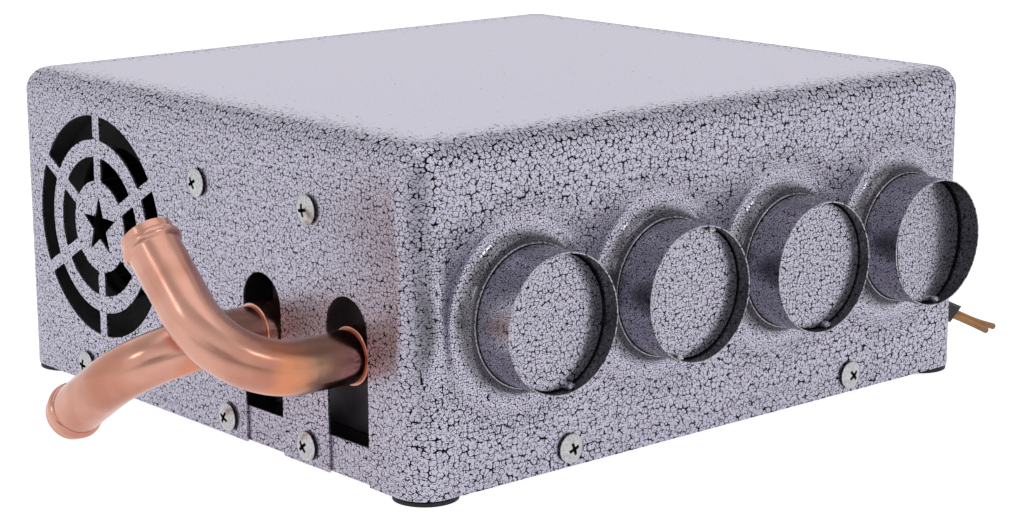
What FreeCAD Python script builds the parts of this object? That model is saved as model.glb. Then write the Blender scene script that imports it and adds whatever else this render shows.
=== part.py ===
import FreeCAD, Part
import math
import os

# Vehicle cab heater: hot engine coolant runs through a finned core and a double blower drives
# cab air through it and out of four round outlets with butterfly dampers.
# Millimetres. While modelling, x runs from the left wall to the right wall, y from the outlet wall
# to the back wall and z up from the floor. The export moves the origin to the middle of the floor
# under the object's box.

Vector = FreeCAD.Vector
X = Vector(1, 0, 0)
Y = Vector(0, 1, 0)
Z = Vector(0, 0, 1)

# How far a cutter runs past the faces that it cuts
CUT_PAST = 1.0

# Case shell
CASE_WIDTH = 280.0
CASE_DEPTH = 258.0
CASE_HEIGHT = 121.0
CASE_SHEET = 0.8
CASE_CORNER_RADIUS = 12.0
CASE_TOP_RADIUS = 9.0

# Base tray inside the case's lower edge
TRAY_SHEET = 0.8
TRAY_HEIGHT = 13.4
TRAY_RECESS = 0.1
TRAY_CLEARANCE = 0.2
TRAY_BEND_RADIUS = 0.9

# Feet, concentric with the case's corners
FOOT_DROP = 2.0
FOOT_RADIUS = 11.5
FOOT_NECK_RADIUS = 10.4
FOOT_PAD_THICKNESS = 1.3
FOOT_SCREW_RADIUS = 1.95
FOOT_SCREW_HEAD_RADIUS = 3.6
FOOT_SCREW_SINK = 0.4
FOOT_SCREW_LENGTH = 8.2
FOOT_NUT_FLATS = 7.0
FOOT_NUT_SIDES = 6
FOOT_NUT_HEIGHT = 3.2
FASTENER_CLEARANCE = 0.1

# Outlets along the front wall
OUTLET_COUNT = 4
OUTLET_END_MARGIN = 44.0
OUTLET_BELOW_MIDDLE = 1.0
OUTLET_RADIUS = 24.5
OUTLET_LENGTH = 23.0
FLANGE_FILLET = 6.5
COLLAR_SHEET = 0.6
COLLAR_FIT = 0.1
COLLAR_NECK = 0.5
COLLAR_NECK_GAP = 0.5
COLLAR_FLANGE_WIDTH = 4.5
COLLAR_LUG_LENGTH = 15.5
COLLAR_LUG_WIDTH = 18.0
COLLAR_LIP_ROUNDING = 0.25

# Dampers: the tilts lean each pivot line about its outlet's axis, the rest angles open each disc
DAMPER_SHEET = 0.6
DAMPER_GAP = 0.5
DAMPER_PIVOT_DEPTH = 3.2
DAMPER_SETBACK = 1.4
DAMPER_TILTS = (-12.0, 19.0, -11.0, -7.0)
DAMPER_REST_ANGLES = (5.0, 2.0, 0.0, 11.0)
DAMPER_EDGE_ROUNDING = 0.2
EAR_WIDTH = 3.8
EAR_GAP = 0.4
RIVET_RADIUS = 0.9
RIVET_HEAD_RADIUS = 1.3
RIVET_HEAD_HEIGHT = 0.5
RIVET_CLEARANCE = 0.05
RIVET_END_SINK = 0.1

# Round grilles in the side walls, around the blower's axis
FAN_FROM_BACK = 60.5
FAN_ABOVE_MIDDLE = 4.1
GRILLE_INSET = 6.5
GRILLE_SLOT_WIDTH = 9.5
GRILLE_RING_WIDTH = 6.6
GRILLE_SPOKE_WIDTH = 4.6
GRILLE_SPOKE_COUNT = 6
GRILLE_CORNER_RADIUS = 0.8
STAR_POINTS = 5
STAR_MARGIN = 5.8
STAR_WAIST_RATIO = 0.4

# Coolant pipes and the notches that they come out of
PIPE_RADIUS = 9.5
PIPE_WALL = 1.0
PIPE_FRONT_Y = 39.0
PIPE_SPACING = 50.0
PIPE_ABOVE_EDGE = 44.0
PIPE_STANDOFF = 49.0
PIPE_BEND_RADIUS = 30.0
PIPE_LEG = 62.5
PIPE_BEAD_RADIUS = 10.7
PIPE_BEAD_SECTION = 2.6
PIPE_BEAD_FROM_END = 5.0
PIPE_END_ROUNDING = 0.3
PIPE_UP_ANGLE = 42.4
PIPE_DOWN_ANGLE = -32.4
PIPE_INSIDE = 9.0
SOCKET_WALL = 0.9
SOCKET_CLEARANCE = 0.05
SOCKET_MOUTHS = (1.0, -4.5)
SOCKET_ROUNDING = 0.5
NOTCH_WIDTH = 23.0
NOTCH_ABOVE_PIPE = 21.0

# Truss-head screws
SCREW_RADIUS = 2.4
SCREW_LENGTH = 7.0
SCREW_HEAD_RADIUS = 5.5
SCREW_HEAD_HEIGHT = 2.6
SCREW_HEAD_EDGE = 1.1
SCREW_SEAT_RADIUS = 4.7
SCREW_RIM_ROUNDING = 0.3
SCREW_CROSS_LENGTH = 4.6
SCREW_CROSS_WIDTH = 1.2
SCREW_CROSS_DEPTH = 1.6
SCREW_HOLE_CLEARANCE = 0.35
SCREW_THREAD_CLEARANCE = 0.05
SCREW_SPIN_STEP = 20.0
LOWER_SCREW_ABOVE_EDGE = 7.0
UPPER_SCREW_BELOW_TOP = 29.0
FRONT_SCREW_FROM_SIDE = 67.0
SIDE_SCREWS_FROM_FRONT = (63.0, 112.0)
SIDE_SCREW_FROM_BACK = 47.0
RAIL_SCREW_FROM_FRONT = 60.0
PARTITION_SCREW_SETBACK = 8.0

# Heater core
CORE_FROM_FRONT = 26.0
CORE_THICKNESS = 76.0
CORE_SIDE_GAP = 12.0
CORE_BOTTOM_SEAL = 10.6
CORE_TOP_SEAL = 13.2
TANK_LENGTH = 10.0
TANK_WALL = 1.2
TANK_EDGE_RADIUS = 4.0
FIN_PITCH = 5.0
FIN_THICKNESS = 0.4
FIN_END_GAP = 3.0
TUBE_RADIUS = 4.8
TUBE_WALL = 0.6
TUBE_ROWS = 5
TUBE_COLUMNS = 2
TUBE_EDGE_MARGIN = 19.0
TUBE_END_MARGIN = 10.0
SEAL_SIDE_INSET = 14.0
SEAL_SHELF_GAP = 1.0

# Side rails over the core's tanks
RAIL_SHEET = 1.2
RAIL_SHELF_WIDTH = 23.2
RAIL_END_MARGIN = 14.0
RAIL_SCREW_MARGIN = 10.0

# Blower partition behind the core
PARTITION_FROM_CORE = 18.0
PARTITION_SHEET = 1.0
PARTITION_TOP_GAP = 9.2
PARTITION_FLANGE = 16.0
LEAD_HOLE_CLEARANCE = 1.0

# Blower housings and impellers
HOUSING_WALL = 1.6
HOUSING_TOP_GAP = 4.0
HOUSING_SIDE_GAP = 9.2
HOUSING_WIDTH = 74.0
HOUSING_SPIRAL_STEP = 2.5
HOUSING_TONGUE_RISE = 14.0
HOUSING_FLANGE = 6.0
HOUSING_SHAFT_HOLE = 10.0
HOUSING_SCREW_RADIUS = 1.5
HOUSING_SCREW_HEAD_RADIUS = 2.6
HOUSING_SCREW_HEAD_HEIGHT = 1.8
INLET_SEAL_WIDTH = 2.5
INLET_SEAL_MARGIN = 0.5
IMPELLER_TONGUE_GAP = 4.5
IMPELLER_SIDE_GAP = 4.4
IMPELLER_DISC = 2.0
IMPELLER_RING = 2.0
IMPELLER_HUB_RADIUS = 8.0
IMPELLER_HUB_LENGTH = 10.0
BLADE_COUNT = 28
BLADE_DEPTH = 8.0
BLADE_CHORD = 7.2
BLADE_THICKNESS = 1.2
BLADE_LEAN = 25.0

# Motor
MOTOR_RADIUS = 28.0
MOTOR_LENGTH = 64.0
MOTOR_WALL = 1.5
MOTOR_CAP = 3.0
MOTOR_BOSS_RADIUS = 9.0
MOTOR_BOSS_LENGTH = 5.0
BEARING_RADIUS = 6.0
SHAFT_RADIUS = 3.0
SHAFT_CLEARANCE = 0.03
SHAFT_END_REACH = 4.0
MAGNET_THICKNESS = 5.0
MAGNET_END_GAP = 8.0
MAGNET_SPLIT = 14.0
AIR_GAP = 1.0
ARMATURE_END_GAP = 10.0
ARMATURE_SLOTS = 8
ARMATURE_SLOT_WIDTH = 2.5
ARMATURE_SLOT_DEPTH = 6.0
COMMUTATOR_RADIUS = 8.0
COMMUTATOR_LENGTH = 7.0
COMMUTATOR_END_GAP = 1.5
BRUSH_GAP = 0.3
BRUSH_WIDTH = 5.0
BRUSH_OVERLAP = 2.0
BRUSH_CARD_THICKNESS = 3.0
BRUSH_CARD_BORE = 15.0

# Motor cradle and strap
CRADLE_SHEET = 1.5
CRADLE_WEB_INSET = 8.0
CRADLE_WEB_HALF_WIDTH = 26.0
CRADLE_WEB_BELOW_AXIS = 10.0
STRAP_SHEET = 1.0
STRAP_WIDTH = 20.0
STRAP_EAR = 12.0
STRAP_SCREW_RADIUS = 2.0
STRAP_SCREW_HEAD_RADIUS = 3.6
STRAP_SCREW_HEAD_HEIGHT = 2.4

# Cable at the right wall: a grommet, a sleeve through it and two leads out of the sleeve
CABLE_FROM_FRONT = 20.0
CABLE_ABOVE_EDGE = 20.5
GROMMET_RADIUS = 6.5
GROMMET_GROOVE_RADIUS = 5.2
GROMMET_FLANGE = 1.5
SLEEVE_RADIUS = 4.0
SLEEVE_BORE_RADIUS = 3.0
SLEEVE_INSIDE = 10.0
SLEEVE_CUT_FROM_END = 3.5
LEAD_RADIUS = 1.3
LEAD_SPREAD = 1.2
LEAD_RISE = 0.98
INNER_LEAD_RADIUS = 1.5

# Share of the shorter run that a cable's arc takes
ARC_SHARE = 0.45

# Numbers of the geometry itself
DIAGONAL = math.sqrt(0.5)
PARALLEL_LIMIT = 0.99
LEVEL_TOLERANCE = 1e-6
PLACE_TOLERANCE = 1e-3

# Places worked out from the sizes above
CASE_EDGE_Z = FOOT_DROP
CASE_TOP_Z = CASE_EDGE_Z + CASE_HEIGHT
ROOF_Z = CASE_TOP_Z - CASE_SHEET
MIDDLE_Z = CASE_EDGE_Z + CASE_HEIGHT / 2
TRAY_UNDER_Z = CASE_EDGE_Z + TRAY_RECESS
TRAY_FLOOR_Z = TRAY_UNDER_Z + TRAY_SHEET
TRAY_INSET = CASE_SHEET + TRAY_CLEARANCE
LOWER_SCREW_Z = CASE_EDGE_Z + LOWER_SCREW_ABOVE_EDGE
UPPER_SCREW_Z = CASE_TOP_Z - UPPER_SCREW_BELOW_TOP

OUTLET_Z = MIDDLE_Z - OUTLET_BELOW_MIDDLE
OUTLET_PITCH = (CASE_WIDTH - 2 * OUTLET_END_MARGIN) / (OUTLET_COUNT - 1)
OUTLET_PLACES = [Vector(OUTLET_END_MARGIN + n * OUTLET_PITCH, 0, OUTLET_Z) for n in range(OUTLET_COUNT)]
COLLAR_BORE_RADIUS = OUTLET_RADIUS - COLLAR_SHEET
FLANGE_RIM_RADIUS = OUTLET_RADIUS + COLLAR_FIT + CASE_SHEET
FLANGE_BASE_RADIUS = FLANGE_RIM_RADIUS + FLANGE_FILLET
PIVOT_Y = DAMPER_PIVOT_DEPTH - OUTLET_LENGTH

FAN_Y = CASE_DEPTH - FAN_FROM_BACK
FAN_Z = MIDDLE_Z + FAN_ABOVE_MIDDLE
VOLUTE_TOP_RADIUS = ROOF_Z - HOUSING_TOP_GAP - HOUSING_WALL - FAN_Z
VOLUTE_FRONT_REACH = VOLUTE_TOP_RADIUS - 3 * HOUSING_SPIRAL_STEP
GRILLE_RADIUS = VOLUTE_TOP_RADIUS - GRILLE_INSET
GRILLE_INNER_SLOT_RADIUS = GRILLE_RADIUS - GRILLE_SLOT_WIDTH - GRILLE_RING_WIDTH
GRILLE_HUB_RADIUS = GRILLE_INNER_SLOT_RADIUS - GRILLE_SLOT_WIDTH
STAR_RADIUS = GRILLE_HUB_RADIUS - STAR_MARGIN
IMPELLER_RADIUS = VOLUTE_FRONT_REACH - IMPELLER_TONGUE_GAP
BLADE_INNER_RADIUS = IMPELLER_RADIUS - BLADE_DEPTH
HOUSING_X = CASE_SHEET + HOUSING_SIDE_GAP

PIPE_Z = CASE_EDGE_Z + PIPE_ABOVE_EDGE
PIPE_YS = (PIPE_FRONT_Y, PIPE_FRONT_Y + PIPE_SPACING)
NOTCH_TOP_Z = PIPE_Z + NOTCH_ABOVE_PIPE

CORE_BACK_Y = CORE_FROM_FRONT + CORE_THICKNESS
CORE_BOTTOM_Z = TRAY_FLOOR_Z + CORE_BOTTOM_SEAL
CORE_TOP_Z = ROOF_Z - CORE_TOP_SEAL
CORE_LEFT_X = CORE_SIDE_GAP + TANK_LENGTH
CORE_RIGHT_X = CASE_WIDTH - CORE_LEFT_X
PARTITION_Y = CORE_BACK_Y + PARTITION_FROM_CORE
PARTITION_BACK_Y = PARTITION_Y + PARTITION_SHEET
PARTITION_SCREW_Y = PARTITION_Y + PARTITION_SCREW_SETBACK
RAIL_INNER_X = CASE_SHEET + RAIL_SHEET

MOTOR_LEFT_X = (CASE_WIDTH - MOTOR_LENGTH) / 2
MOTOR_RIGHT_X = MOTOR_LEFT_X + MOTOR_LENGTH
MAGNET_RADIUS = MOTOR_RADIUS - MOTOR_WALL
ARMATURE_RADIUS = MAGNET_RADIUS - MAGNET_THICKNESS - AIR_GAP
CRADLE_TOP_Z = TRAY_FLOOR_Z + CRADLE_SHEET

CABLE_Z = CASE_EDGE_Z + CABLE_ABOVE_EDGE
SLEEVE_START = Vector(CASE_WIDTH - SLEEVE_INSIDE, CABLE_FROM_FRONT, CABLE_Z)
SLEEVE_ROUTE = (
    SLEEVE_START,
    Vector(CASE_WIDTH + 4, CABLE_FROM_FRONT, CABLE_Z),
    Vector(CASE_WIDTH + 19.5, CABLE_FROM_FRONT - 5.4, CABLE_Z - 7.7),
)
SLEEVE_CUT_NORMAL = Vector(0.42, -0.74, -0.53).normalize()
LEAD_BACK_Y = CABLE_FROM_FRONT + LEAD_SPREAD
LEAD_BACK_Z = CABLE_Z + LEAD_RISE
LEAD_FRONT_Y = CABLE_FROM_FRONT - LEAD_SPREAD
LEAD_FRONT_Z = CABLE_Z - LEAD_RISE
LEAD_ROUTES = (
    (
        Vector(CASE_WIDTH + 4.5, LEAD_BACK_Y - 0.6, LEAD_BACK_Z - 0.8),
        Vector(CASE_WIDTH + 13, LEAD_BACK_Y - 3.1, LEAD_BACK_Z - 4.45),
        Vector(CASE_WIDTH + 21.5, LEAD_BACK_Y - 5.9, LEAD_BACK_Z - 8.75),
        Vector(CASE_WIDTH + 30.5, LEAD_BACK_Y - 6.5, LEAD_BACK_Z - 12.8),
        Vector(CASE_WIDTH + 40.4, LEAD_BACK_Y - 6.4, LEAD_BACK_Z - 16.1),
    ),
    (
        Vector(CASE_WIDTH + 4.5, LEAD_FRONT_Y - 0.6, LEAD_FRONT_Z - 0.8),
        Vector(CASE_WIDTH + 13, LEAD_FRONT_Y - 3.1, LEAD_FRONT_Z - 4.45),
        Vector(CASE_WIDTH + 21.5, LEAD_FRONT_Y - 5.9, LEAD_FRONT_Z - 8.75),
        Vector(CASE_WIDTH + 27, LEAD_FRONT_Y - 6.35, LEAD_FRONT_Z - 11.4),
        Vector(CASE_WIDTH + 32.6, LEAD_FRONT_Y - 6.5, LEAD_FRONT_Z - 14.1),
    ),
)
INNER_LEAD_SIDE_X = CASE_WIDTH - CORE_SIDE_GAP / 2 - 1
INNER_LEAD_FRONT_X = SLEEVE_START.x - 26
INNER_LEAD_Z = CABLE_Z + 22
INNER_LEAD_ROUTE = (
    Vector(MOTOR_RIGHT_X - 4, FAN_Y - MOTOR_RADIUS, FAN_Z),
    Vector(MOTOR_RIGHT_X - 4, FAN_Y - MOTOR_RADIUS - 24, FAN_Z),
    Vector(MOTOR_RIGHT_X + 28, PARTITION_Y + 20, INNER_LEAD_Z + 10),
    Vector(MOTOR_RIGHT_X + 66, PARTITION_Y + 18, INNER_LEAD_Z + 3),
    Vector(INNER_LEAD_SIDE_X, PARTITION_Y + 15, INNER_LEAD_Z),
    Vector(INNER_LEAD_SIDE_X, PARTITION_Y - 20, INNER_LEAD_Z),
    Vector(INNER_LEAD_SIDE_X, CORE_FROM_FRONT + 34, INNER_LEAD_Z - 1),
    Vector(INNER_LEAD_SIDE_X, CORE_FROM_FRONT - 12, INNER_LEAD_Z - 2),
    Vector(INNER_LEAD_FRONT_X, CORE_FROM_FRONT - 12, INNER_LEAD_Z - 1),
    Vector(INNER_LEAD_FRONT_X, CABLE_FROM_FRONT, CABLE_Z),
    SLEEVE_START,
)

BOX_LOW = Vector(-PIPE_STANDOFF - PIPE_BEAD_RADIUS, -OUTLET_LENGTH, 0)
BOX_HIGH = Vector(CASE_WIDTH + SCREW_HEAD_HEIGHT, CASE_DEPTH + SCREW_HEAD_HEIGHT, CASE_TOP_Z)
ORIGIN = Vector((BOX_LOW.x + BOX_HIGH.x) / 2, (BOX_LOW.y + BOX_HIGH.y) / 2, 0)


def box(low, high):
    size = high - low
    return Part.makeBox(size.x, size.y, size.z, low)


def rod(start, axis, radius, length):
    return Part.makeCylinder(radius, length, start, axis)


def pipe_piece(start, axis, radius, bore_radius, length):
    return rod(start, axis, radius, length).cut(rod(start, axis, bore_radius, length))


def rounded_ends(shape, radius, places):
    # Rounds the closed edges whose middles are at the given places
    rims = []
    for edge in shape.Edges:
        nearest = min(edge.CenterOfMass.distanceToPoint(place) for place in places)
        if edge.isClosed() and nearest < PLACE_TOLERANCE:
            rims.append(edge)
    return shape.makeFillet(radius, rims)


def fuse_all(shapes):
    return shapes[0].multiFuse(shapes[1:]).removeSplitter()


def cut_all(shape, cutters):
    return shape.cut(Part.makeCompound(cutters))


def mirrored(shape):
    # The right-hand twin of a left-hand piece
    return shape.mirror(Vector(CASE_WIDTH / 2, 0, 0), X)


def rounded_block(low, high, corner_radius, top_radius=0.0, bottom_radius=0.0):
    block = box(low, high)
    upright = [edge for edge in block.Edges if abs(edge.tangentAt(edge.FirstParameter).z) > PARALLEL_LIMIT]
    block = block.makeFillet(corner_radius, upright)
    for level, radius in ((high.z, top_radius), (low.z, bottom_radius)):
        if radius:
            rim = [
                edge for edge in block.Edges
                if all(abs(vertex.Z - level) < LEVEL_TOLERANCE for vertex in edge.Vertexes)
            ]
            block = block.makeFillet(radius, rim)
    return block


def rounded_path(points):
    # Straight runs joined by tangent arcs, each as large as its two runs allow
    edges = []
    start = points[0]
    for before, corner, after in zip(points, points[1:], points[2:]):
        back = (before - corner).normalize()
        ahead = (after - corner).normalize()
        reach = ARC_SHARE * min(before.distanceToPoint(corner), after.distanceToPoint(corner))
        turn = math.pi - back.getAngle(ahead)
        radius = reach / math.tan(turn / 2)
        bisector = (back + ahead).normalize()
        to_centre = math.hypot(reach, radius)
        arc_start = corner + back * reach
        arc_end = corner + ahead * reach
        arc_middle = corner + bisector * (to_centre - radius)
        edges.append(Part.makeLine(start, arc_start))
        edges.append(Part.Arc(arc_start, arc_middle, arc_end).toShape())
        print("bend radius", round(radius, 1))
        start = arc_end
    edges.append(Part.makeLine(start, points[-1]))
    return Part.Wire(edges)


def swept_rod(path, radius):
    first = path.OrderedEdges[0]
    start = first.valueAt(first.FirstParameter)
    along = first.tangentAt(first.FirstParameter)
    section = Part.Wire(Part.makeCircle(radius, start, along))
    return path.makePipeShell([section], True, False)


def extruded_x(wire, left_x, right_x):
    # A flat outline in the y-z plane at x = 0, carried from left_x to right_x
    face = Part.Face(wire)
    face.translate(X * left_x)
    return face.extrude(X * (right_x - left_x))


def outlet_flange():
    # The drawn rim round one outlet hole, concave outside, its edge rounded, at the origin
    bend = Vector(FLANGE_BASE_RADIUS, -FLANGE_FILLET, 0)
    inner_bend = FLANGE_FILLET + CASE_SHEET
    diagonal = Vector(-DIAGONAL, DIAGONAL, 0)
    outer_start = Vector(FLANGE_BASE_RADIUS, 0, 0)
    outer_end = Vector(FLANGE_RIM_RADIUS, -FLANGE_FILLET, 0)
    inner_start = Vector(FLANGE_BASE_RADIUS, CASE_SHEET, 0)
    inner_end = Vector(FLANGE_RIM_RADIUS - CASE_SHEET, -FLANGE_FILLET, 0)
    edge_middle = (outer_end + inner_end) / 2 - Y * (CASE_SHEET / 2)
    outline = Part.Wire([
        Part.Arc(outer_start, bend + diagonal * FLANGE_FILLET, outer_end).toShape(),
        Part.Arc(outer_end, edge_middle, inner_end).toShape(),
        Part.Arc(inner_end, bend + diagonal * inner_bend, inner_start).toShape(),
        Part.makeLine(inner_start, outer_start),
    ])
    return Part.Face(outline).revolve(Vector(), Y, 360)


def star_outline():
    corners = []
    for n in range(2 * STAR_POINTS):
        radius = STAR_RADIUS if n % 2 == 0 else STAR_RADIUS * STAR_WAIST_RATIO
        angle = math.pi / 2 + n * math.pi / STAR_POINTS
        corners.append(Vector(0, FAN_Y + radius * math.cos(angle), FAN_Z + radius * math.sin(angle)))
    return Part.makePolygon(corners + corners[:1])


def grille_cutters():
    # Two rings of arc slots between straight spokes and a star in the hub, through the left wall
    centre = Vector(-CUT_PAST, FAN_Y, FAN_Z)
    depth = CASE_SHEET + 2 * CUT_PAST
    spokes = []
    for n in range(GRILLE_SPOKE_COUNT // 2):
        bar = box(
            centre - Vector(0, GRILLE_SPOKE_WIDTH / 2, GRILLE_RADIUS + CUT_PAST),
            centre + Vector(depth, GRILLE_SPOKE_WIDTH / 2, GRILLE_RADIUS + CUT_PAST),
        )
        bar.rotate(centre, X, n * 360 / GRILLE_SPOKE_COUNT)
        spokes.append(bar)
    slots = []
    for radius in (GRILLE_RADIUS, GRILLE_INNER_SLOT_RADIUS):
        ring = pipe_piece(centre, X, radius, radius - GRILLE_SLOT_WIDTH, depth)
        for slot in cut_all(ring, spokes).Solids:
            along_x = [
                edge for edge in slot.Edges
                if abs(edge.tangentAt(edge.FirstParameter).x) > PARALLEL_LIMIT
            ]
            slots.append(slot.makeFillet(GRILLE_CORNER_RADIUS, along_x))
    return slots + [extruded_x(star_outline(), centre.x, centre.x + depth)]


def notch_cutters():
    radius = NOTCH_WIDTH / 2
    cutters = []
    for y in PIPE_YS:
        cutters.append(rod(Vector(-CUT_PAST, y, NOTCH_TOP_Z - radius), X, radius, CASE_SHEET + 2 * CUT_PAST))
        cutters.append(box(
            Vector(-CUT_PAST, y - radius, CASE_EDGE_Z - CUT_PAST),
            Vector(CASE_SHEET + CUT_PAST, y + radius, NOTCH_TOP_Z - radius),
        ))
    return cutters


def side_screw_places():
    # Left-wall screws: the lower row holds the tray, the upper two hold the rail and the partition
    lower = list(SIDE_SCREWS_FROM_FRONT) + [CASE_DEPTH - SIDE_SCREW_FROM_BACK]
    places = [Vector(0, y, LOWER_SCREW_Z) for y in lower]
    return places + upper_screw_places()


def upper_screw_places():
    return [Vector(0, y, UPPER_SCREW_Z) for y in (RAIL_SCREW_FROM_FRONT, PARTITION_SCREW_Y)]


def front_screw_places():
    xs = (FRONT_SCREW_FROM_SIDE, CASE_WIDTH - FRONT_SCREW_FROM_SIDE)
    return [Vector(x, 0, LOWER_SCREW_Z) for x in xs]


def screw_holes(clearance):
    # Holes for every case screw, long enough to pass the case, the tray, a rail and the partition
    radius = SCREW_RADIUS + clearance
    reach = SCREW_LENGTH + CUT_PAST
    holes = []
    for place in side_screw_places():
        hole = rod(place - X * CUT_PAST, X, radius, reach)
        holes += [hole, mirrored(hole)]
    for place in front_screw_places():
        holes.append(rod(place - Y * CUT_PAST, Y, radius, reach))
        holes.append(rod(place + Y * (CASE_DEPTH + CUT_PAST), -Y, radius, reach))
    return holes


def case_shell():
    low = Vector(0, 0, CASE_EDGE_Z)
    high = Vector(CASE_WIDTH, CASE_DEPTH, CASE_TOP_Z)
    sheet = Vector(CASE_SHEET, CASE_SHEET, CASE_SHEET)
    outer = rounded_block(low, high, CASE_CORNER_RADIUS, CASE_TOP_RADIUS)
    inner = rounded_block(
        Vector(CASE_SHEET, CASE_SHEET, CASE_EDGE_Z - CUT_PAST),
        high - sheet,
        CASE_CORNER_RADIUS - CASE_SHEET,
        CASE_TOP_RADIUS - CASE_SHEET,
    )
    cut_depth = CASE_SHEET + 2 * CUT_PAST
    outlet_holes = [rod(place - Y * CUT_PAST, Y, FLANGE_BASE_RADIUS, cut_depth) for place in OUTLET_PLACES]
    shell = cut_all(outer.cut(inner), outlet_holes)
    shell = fuse_all([shell] + [outlet_flange().translated(place) for place in OUTLET_PLACES])
    left_grille = grille_cutters()
    right_grille = [mirrored(cutter) for cutter in left_grille]
    cable_exit = Vector(CASE_WIDTH + CUT_PAST, CABLE_FROM_FRONT, CABLE_Z)
    cable_hole = rod(cable_exit, -X, GROMMET_GROOVE_RADIUS, cut_depth)
    holes = screw_holes(SCREW_HOLE_CLEARANCE) + [cable_hole]
    return cut_all(shell, left_grille + right_grille + notch_cutters() + holes)


def base_tray():
    low = Vector(TRAY_INSET, TRAY_INSET, TRAY_UNDER_Z)
    high = Vector(CASE_WIDTH - TRAY_INSET, CASE_DEPTH - TRAY_INSET, TRAY_UNDER_Z + TRAY_HEIGHT)
    sheet = Vector(TRAY_SHEET, TRAY_SHEET, 0)
    corner = CASE_CORNER_RADIUS - TRAY_INSET
    outer = rounded_block(low, high, corner, bottom_radius=TRAY_BEND_RADIUS)
    inner = rounded_block(
        low + sheet + Z * TRAY_SHEET,
        high - sheet + Z * CUT_PAST,
        corner - TRAY_SHEET,
    )
    tray = outer.cut(inner)
    foot_holes = [
        rod(Vector(place.x, place.y, 0), Z, FOOT_SCREW_RADIUS + FASTENER_CLEARANCE, TRAY_FLOOR_Z + CUT_PAST)
        for place in foot_places()
    ]
    strap_holes = [
        rod(Vector(place.x, place.y, 0), Z, STRAP_SCREW_RADIUS + FASTENER_CLEARANCE, TRAY_FLOOR_Z + CUT_PAST)
        for place in strap_screw_places()
    ]
    return cut_all(tray, screw_holes(SCREW_THREAD_CLEARANCE) + foot_holes + strap_holes)


def foot_places():
    inset = CASE_CORNER_RADIUS
    return [
        Vector(x, y, 0)
        for x in (inset, CASE_WIDTH - inset)
        for y in (inset, CASE_DEPTH - inset)
    ]


def foot_screw_cone(clearance):
    # The sunk head of a foot screw, from its face up to its shank
    head = FOOT_SCREW_HEAD_RADIUS - FOOT_SCREW_RADIUS
    return Part.makeCone(
        FOOT_SCREW_HEAD_RADIUS + clearance,
        FOOT_SCREW_RADIUS + clearance,
        head,
        Z * FOOT_SCREW_SINK,
        Z,
    )


def foot():
    pad = rod(Vector(), Z, FOOT_RADIUS, FOOT_PAD_THICKNESS)
    neck = rod(Vector(), Z, FOOT_NECK_RADIUS, TRAY_UNDER_Z)
    under = -Z * CUT_PAST
    bore = rod(under, Z, FOOT_SCREW_RADIUS + FASTENER_CLEARANCE, TRAY_UNDER_Z + 2 * CUT_PAST)
    mouth = rod(under, Z, FOOT_SCREW_HEAD_RADIUS + FASTENER_CLEARANCE, FOOT_SCREW_SINK + CUT_PAST)
    return cut_all(fuse_all([pad, neck]), [bore, mouth, foot_screw_cone(FASTENER_CLEARANCE)])


def foot_screw():
    shank = rod(Z * FOOT_SCREW_SINK, Z, FOOT_SCREW_RADIUS, FOOT_SCREW_LENGTH)
    return fuse_all([foot_screw_cone(0.0), shank])


def foot_nut():
    half_turn = math.pi / FOOT_NUT_SIDES
    corner_radius = FOOT_NUT_FLATS / 2 / math.cos(half_turn)
    corners = []
    for n in range(FOOT_NUT_SIDES + 1):
        angle = 2 * n * half_turn
        corners.append(Vector(corner_radius * math.cos(angle), corner_radius * math.sin(angle), TRAY_FLOOR_Z))
    nut = Part.Face(Part.makePolygon(corners)).extrude(Z * FOOT_NUT_HEIGHT)
    return nut.cut(rod(Z * TRAY_FLOOR_Z, Z, FOOT_SCREW_RADIUS, FOOT_NUT_HEIGHT))


def truss_screw():
    # Domed head on z = 0 with an undercut edge and a cross recess, shank pointing down
    rise = SCREW_HEAD_HEIGHT - SCREW_HEAD_EDGE
    dome_radius = (SCREW_HEAD_RADIUS ** 2 + rise ** 2) / (2 * rise)
    dome = Part.makeSphere(dome_radius, Z * (SCREW_HEAD_HEIGHT - dome_radius))
    cap = dome.common(rod(Z * SCREW_HEAD_EDGE, Z, SCREW_HEAD_RADIUS + CUT_PAST, rise + CUT_PAST))
    edge = Part.makeCone(SCREW_SEAT_RADIUS, SCREW_HEAD_RADIUS, SCREW_HEAD_EDGE)
    head = rounded_ends(fuse_all([cap, edge]), SCREW_RIM_ROUNDING, [Z * SCREW_HEAD_EDGE])
    shank = rod(Vector(), -Z, SCREW_RADIUS, SCREW_LENGTH)
    half = Vector(SCREW_CROSS_LENGTH / 2, SCREW_CROSS_WIDTH / 2, 0)
    floor = Z * (SCREW_HEAD_HEIGHT - SCREW_CROSS_DEPTH)
    bar = box(floor - half, floor + half + Z * (SCREW_CROSS_DEPTH + CUT_PAST))
    cross_bar = bar.copy()
    cross_bar.rotate(Vector(), Z, 90)
    return cut_all(fuse_all([head, shank]), [bar, cross_bar])


def case_screws():
    screw = truss_screw()
    screws = []
    for n, place in enumerate(side_screw_places()):
        left = placed(screw, place, -X, (n + 2) * SCREW_SPIN_STEP)
        screws += [left, mirrored(left)]
    for n, place in enumerate(front_screw_places()):
        screws.append(placed(screw, place, -Y, (n + 1) * SCREW_SPIN_STEP))
        screws.append(placed(screw, place + Y * CASE_DEPTH, Y, n * SCREW_SPIN_STEP))
    return Part.makeCompound(screws)


def placed(shape, place, outward, spin):
    turned = shape.copy()
    turned.rotate(Vector(), Z, spin)
    turned.Placement = FreeCAD.Placement(place, FreeCAD.Rotation(Z, outward)).multiply(turned.Placement)
    return turned


def at_outlet(shape, number, tilt):
    moved = shape.copy()
    moved.rotate(Vector(), Y, tilt)
    return moved.translated(OUTLET_PLACES[number])


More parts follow.
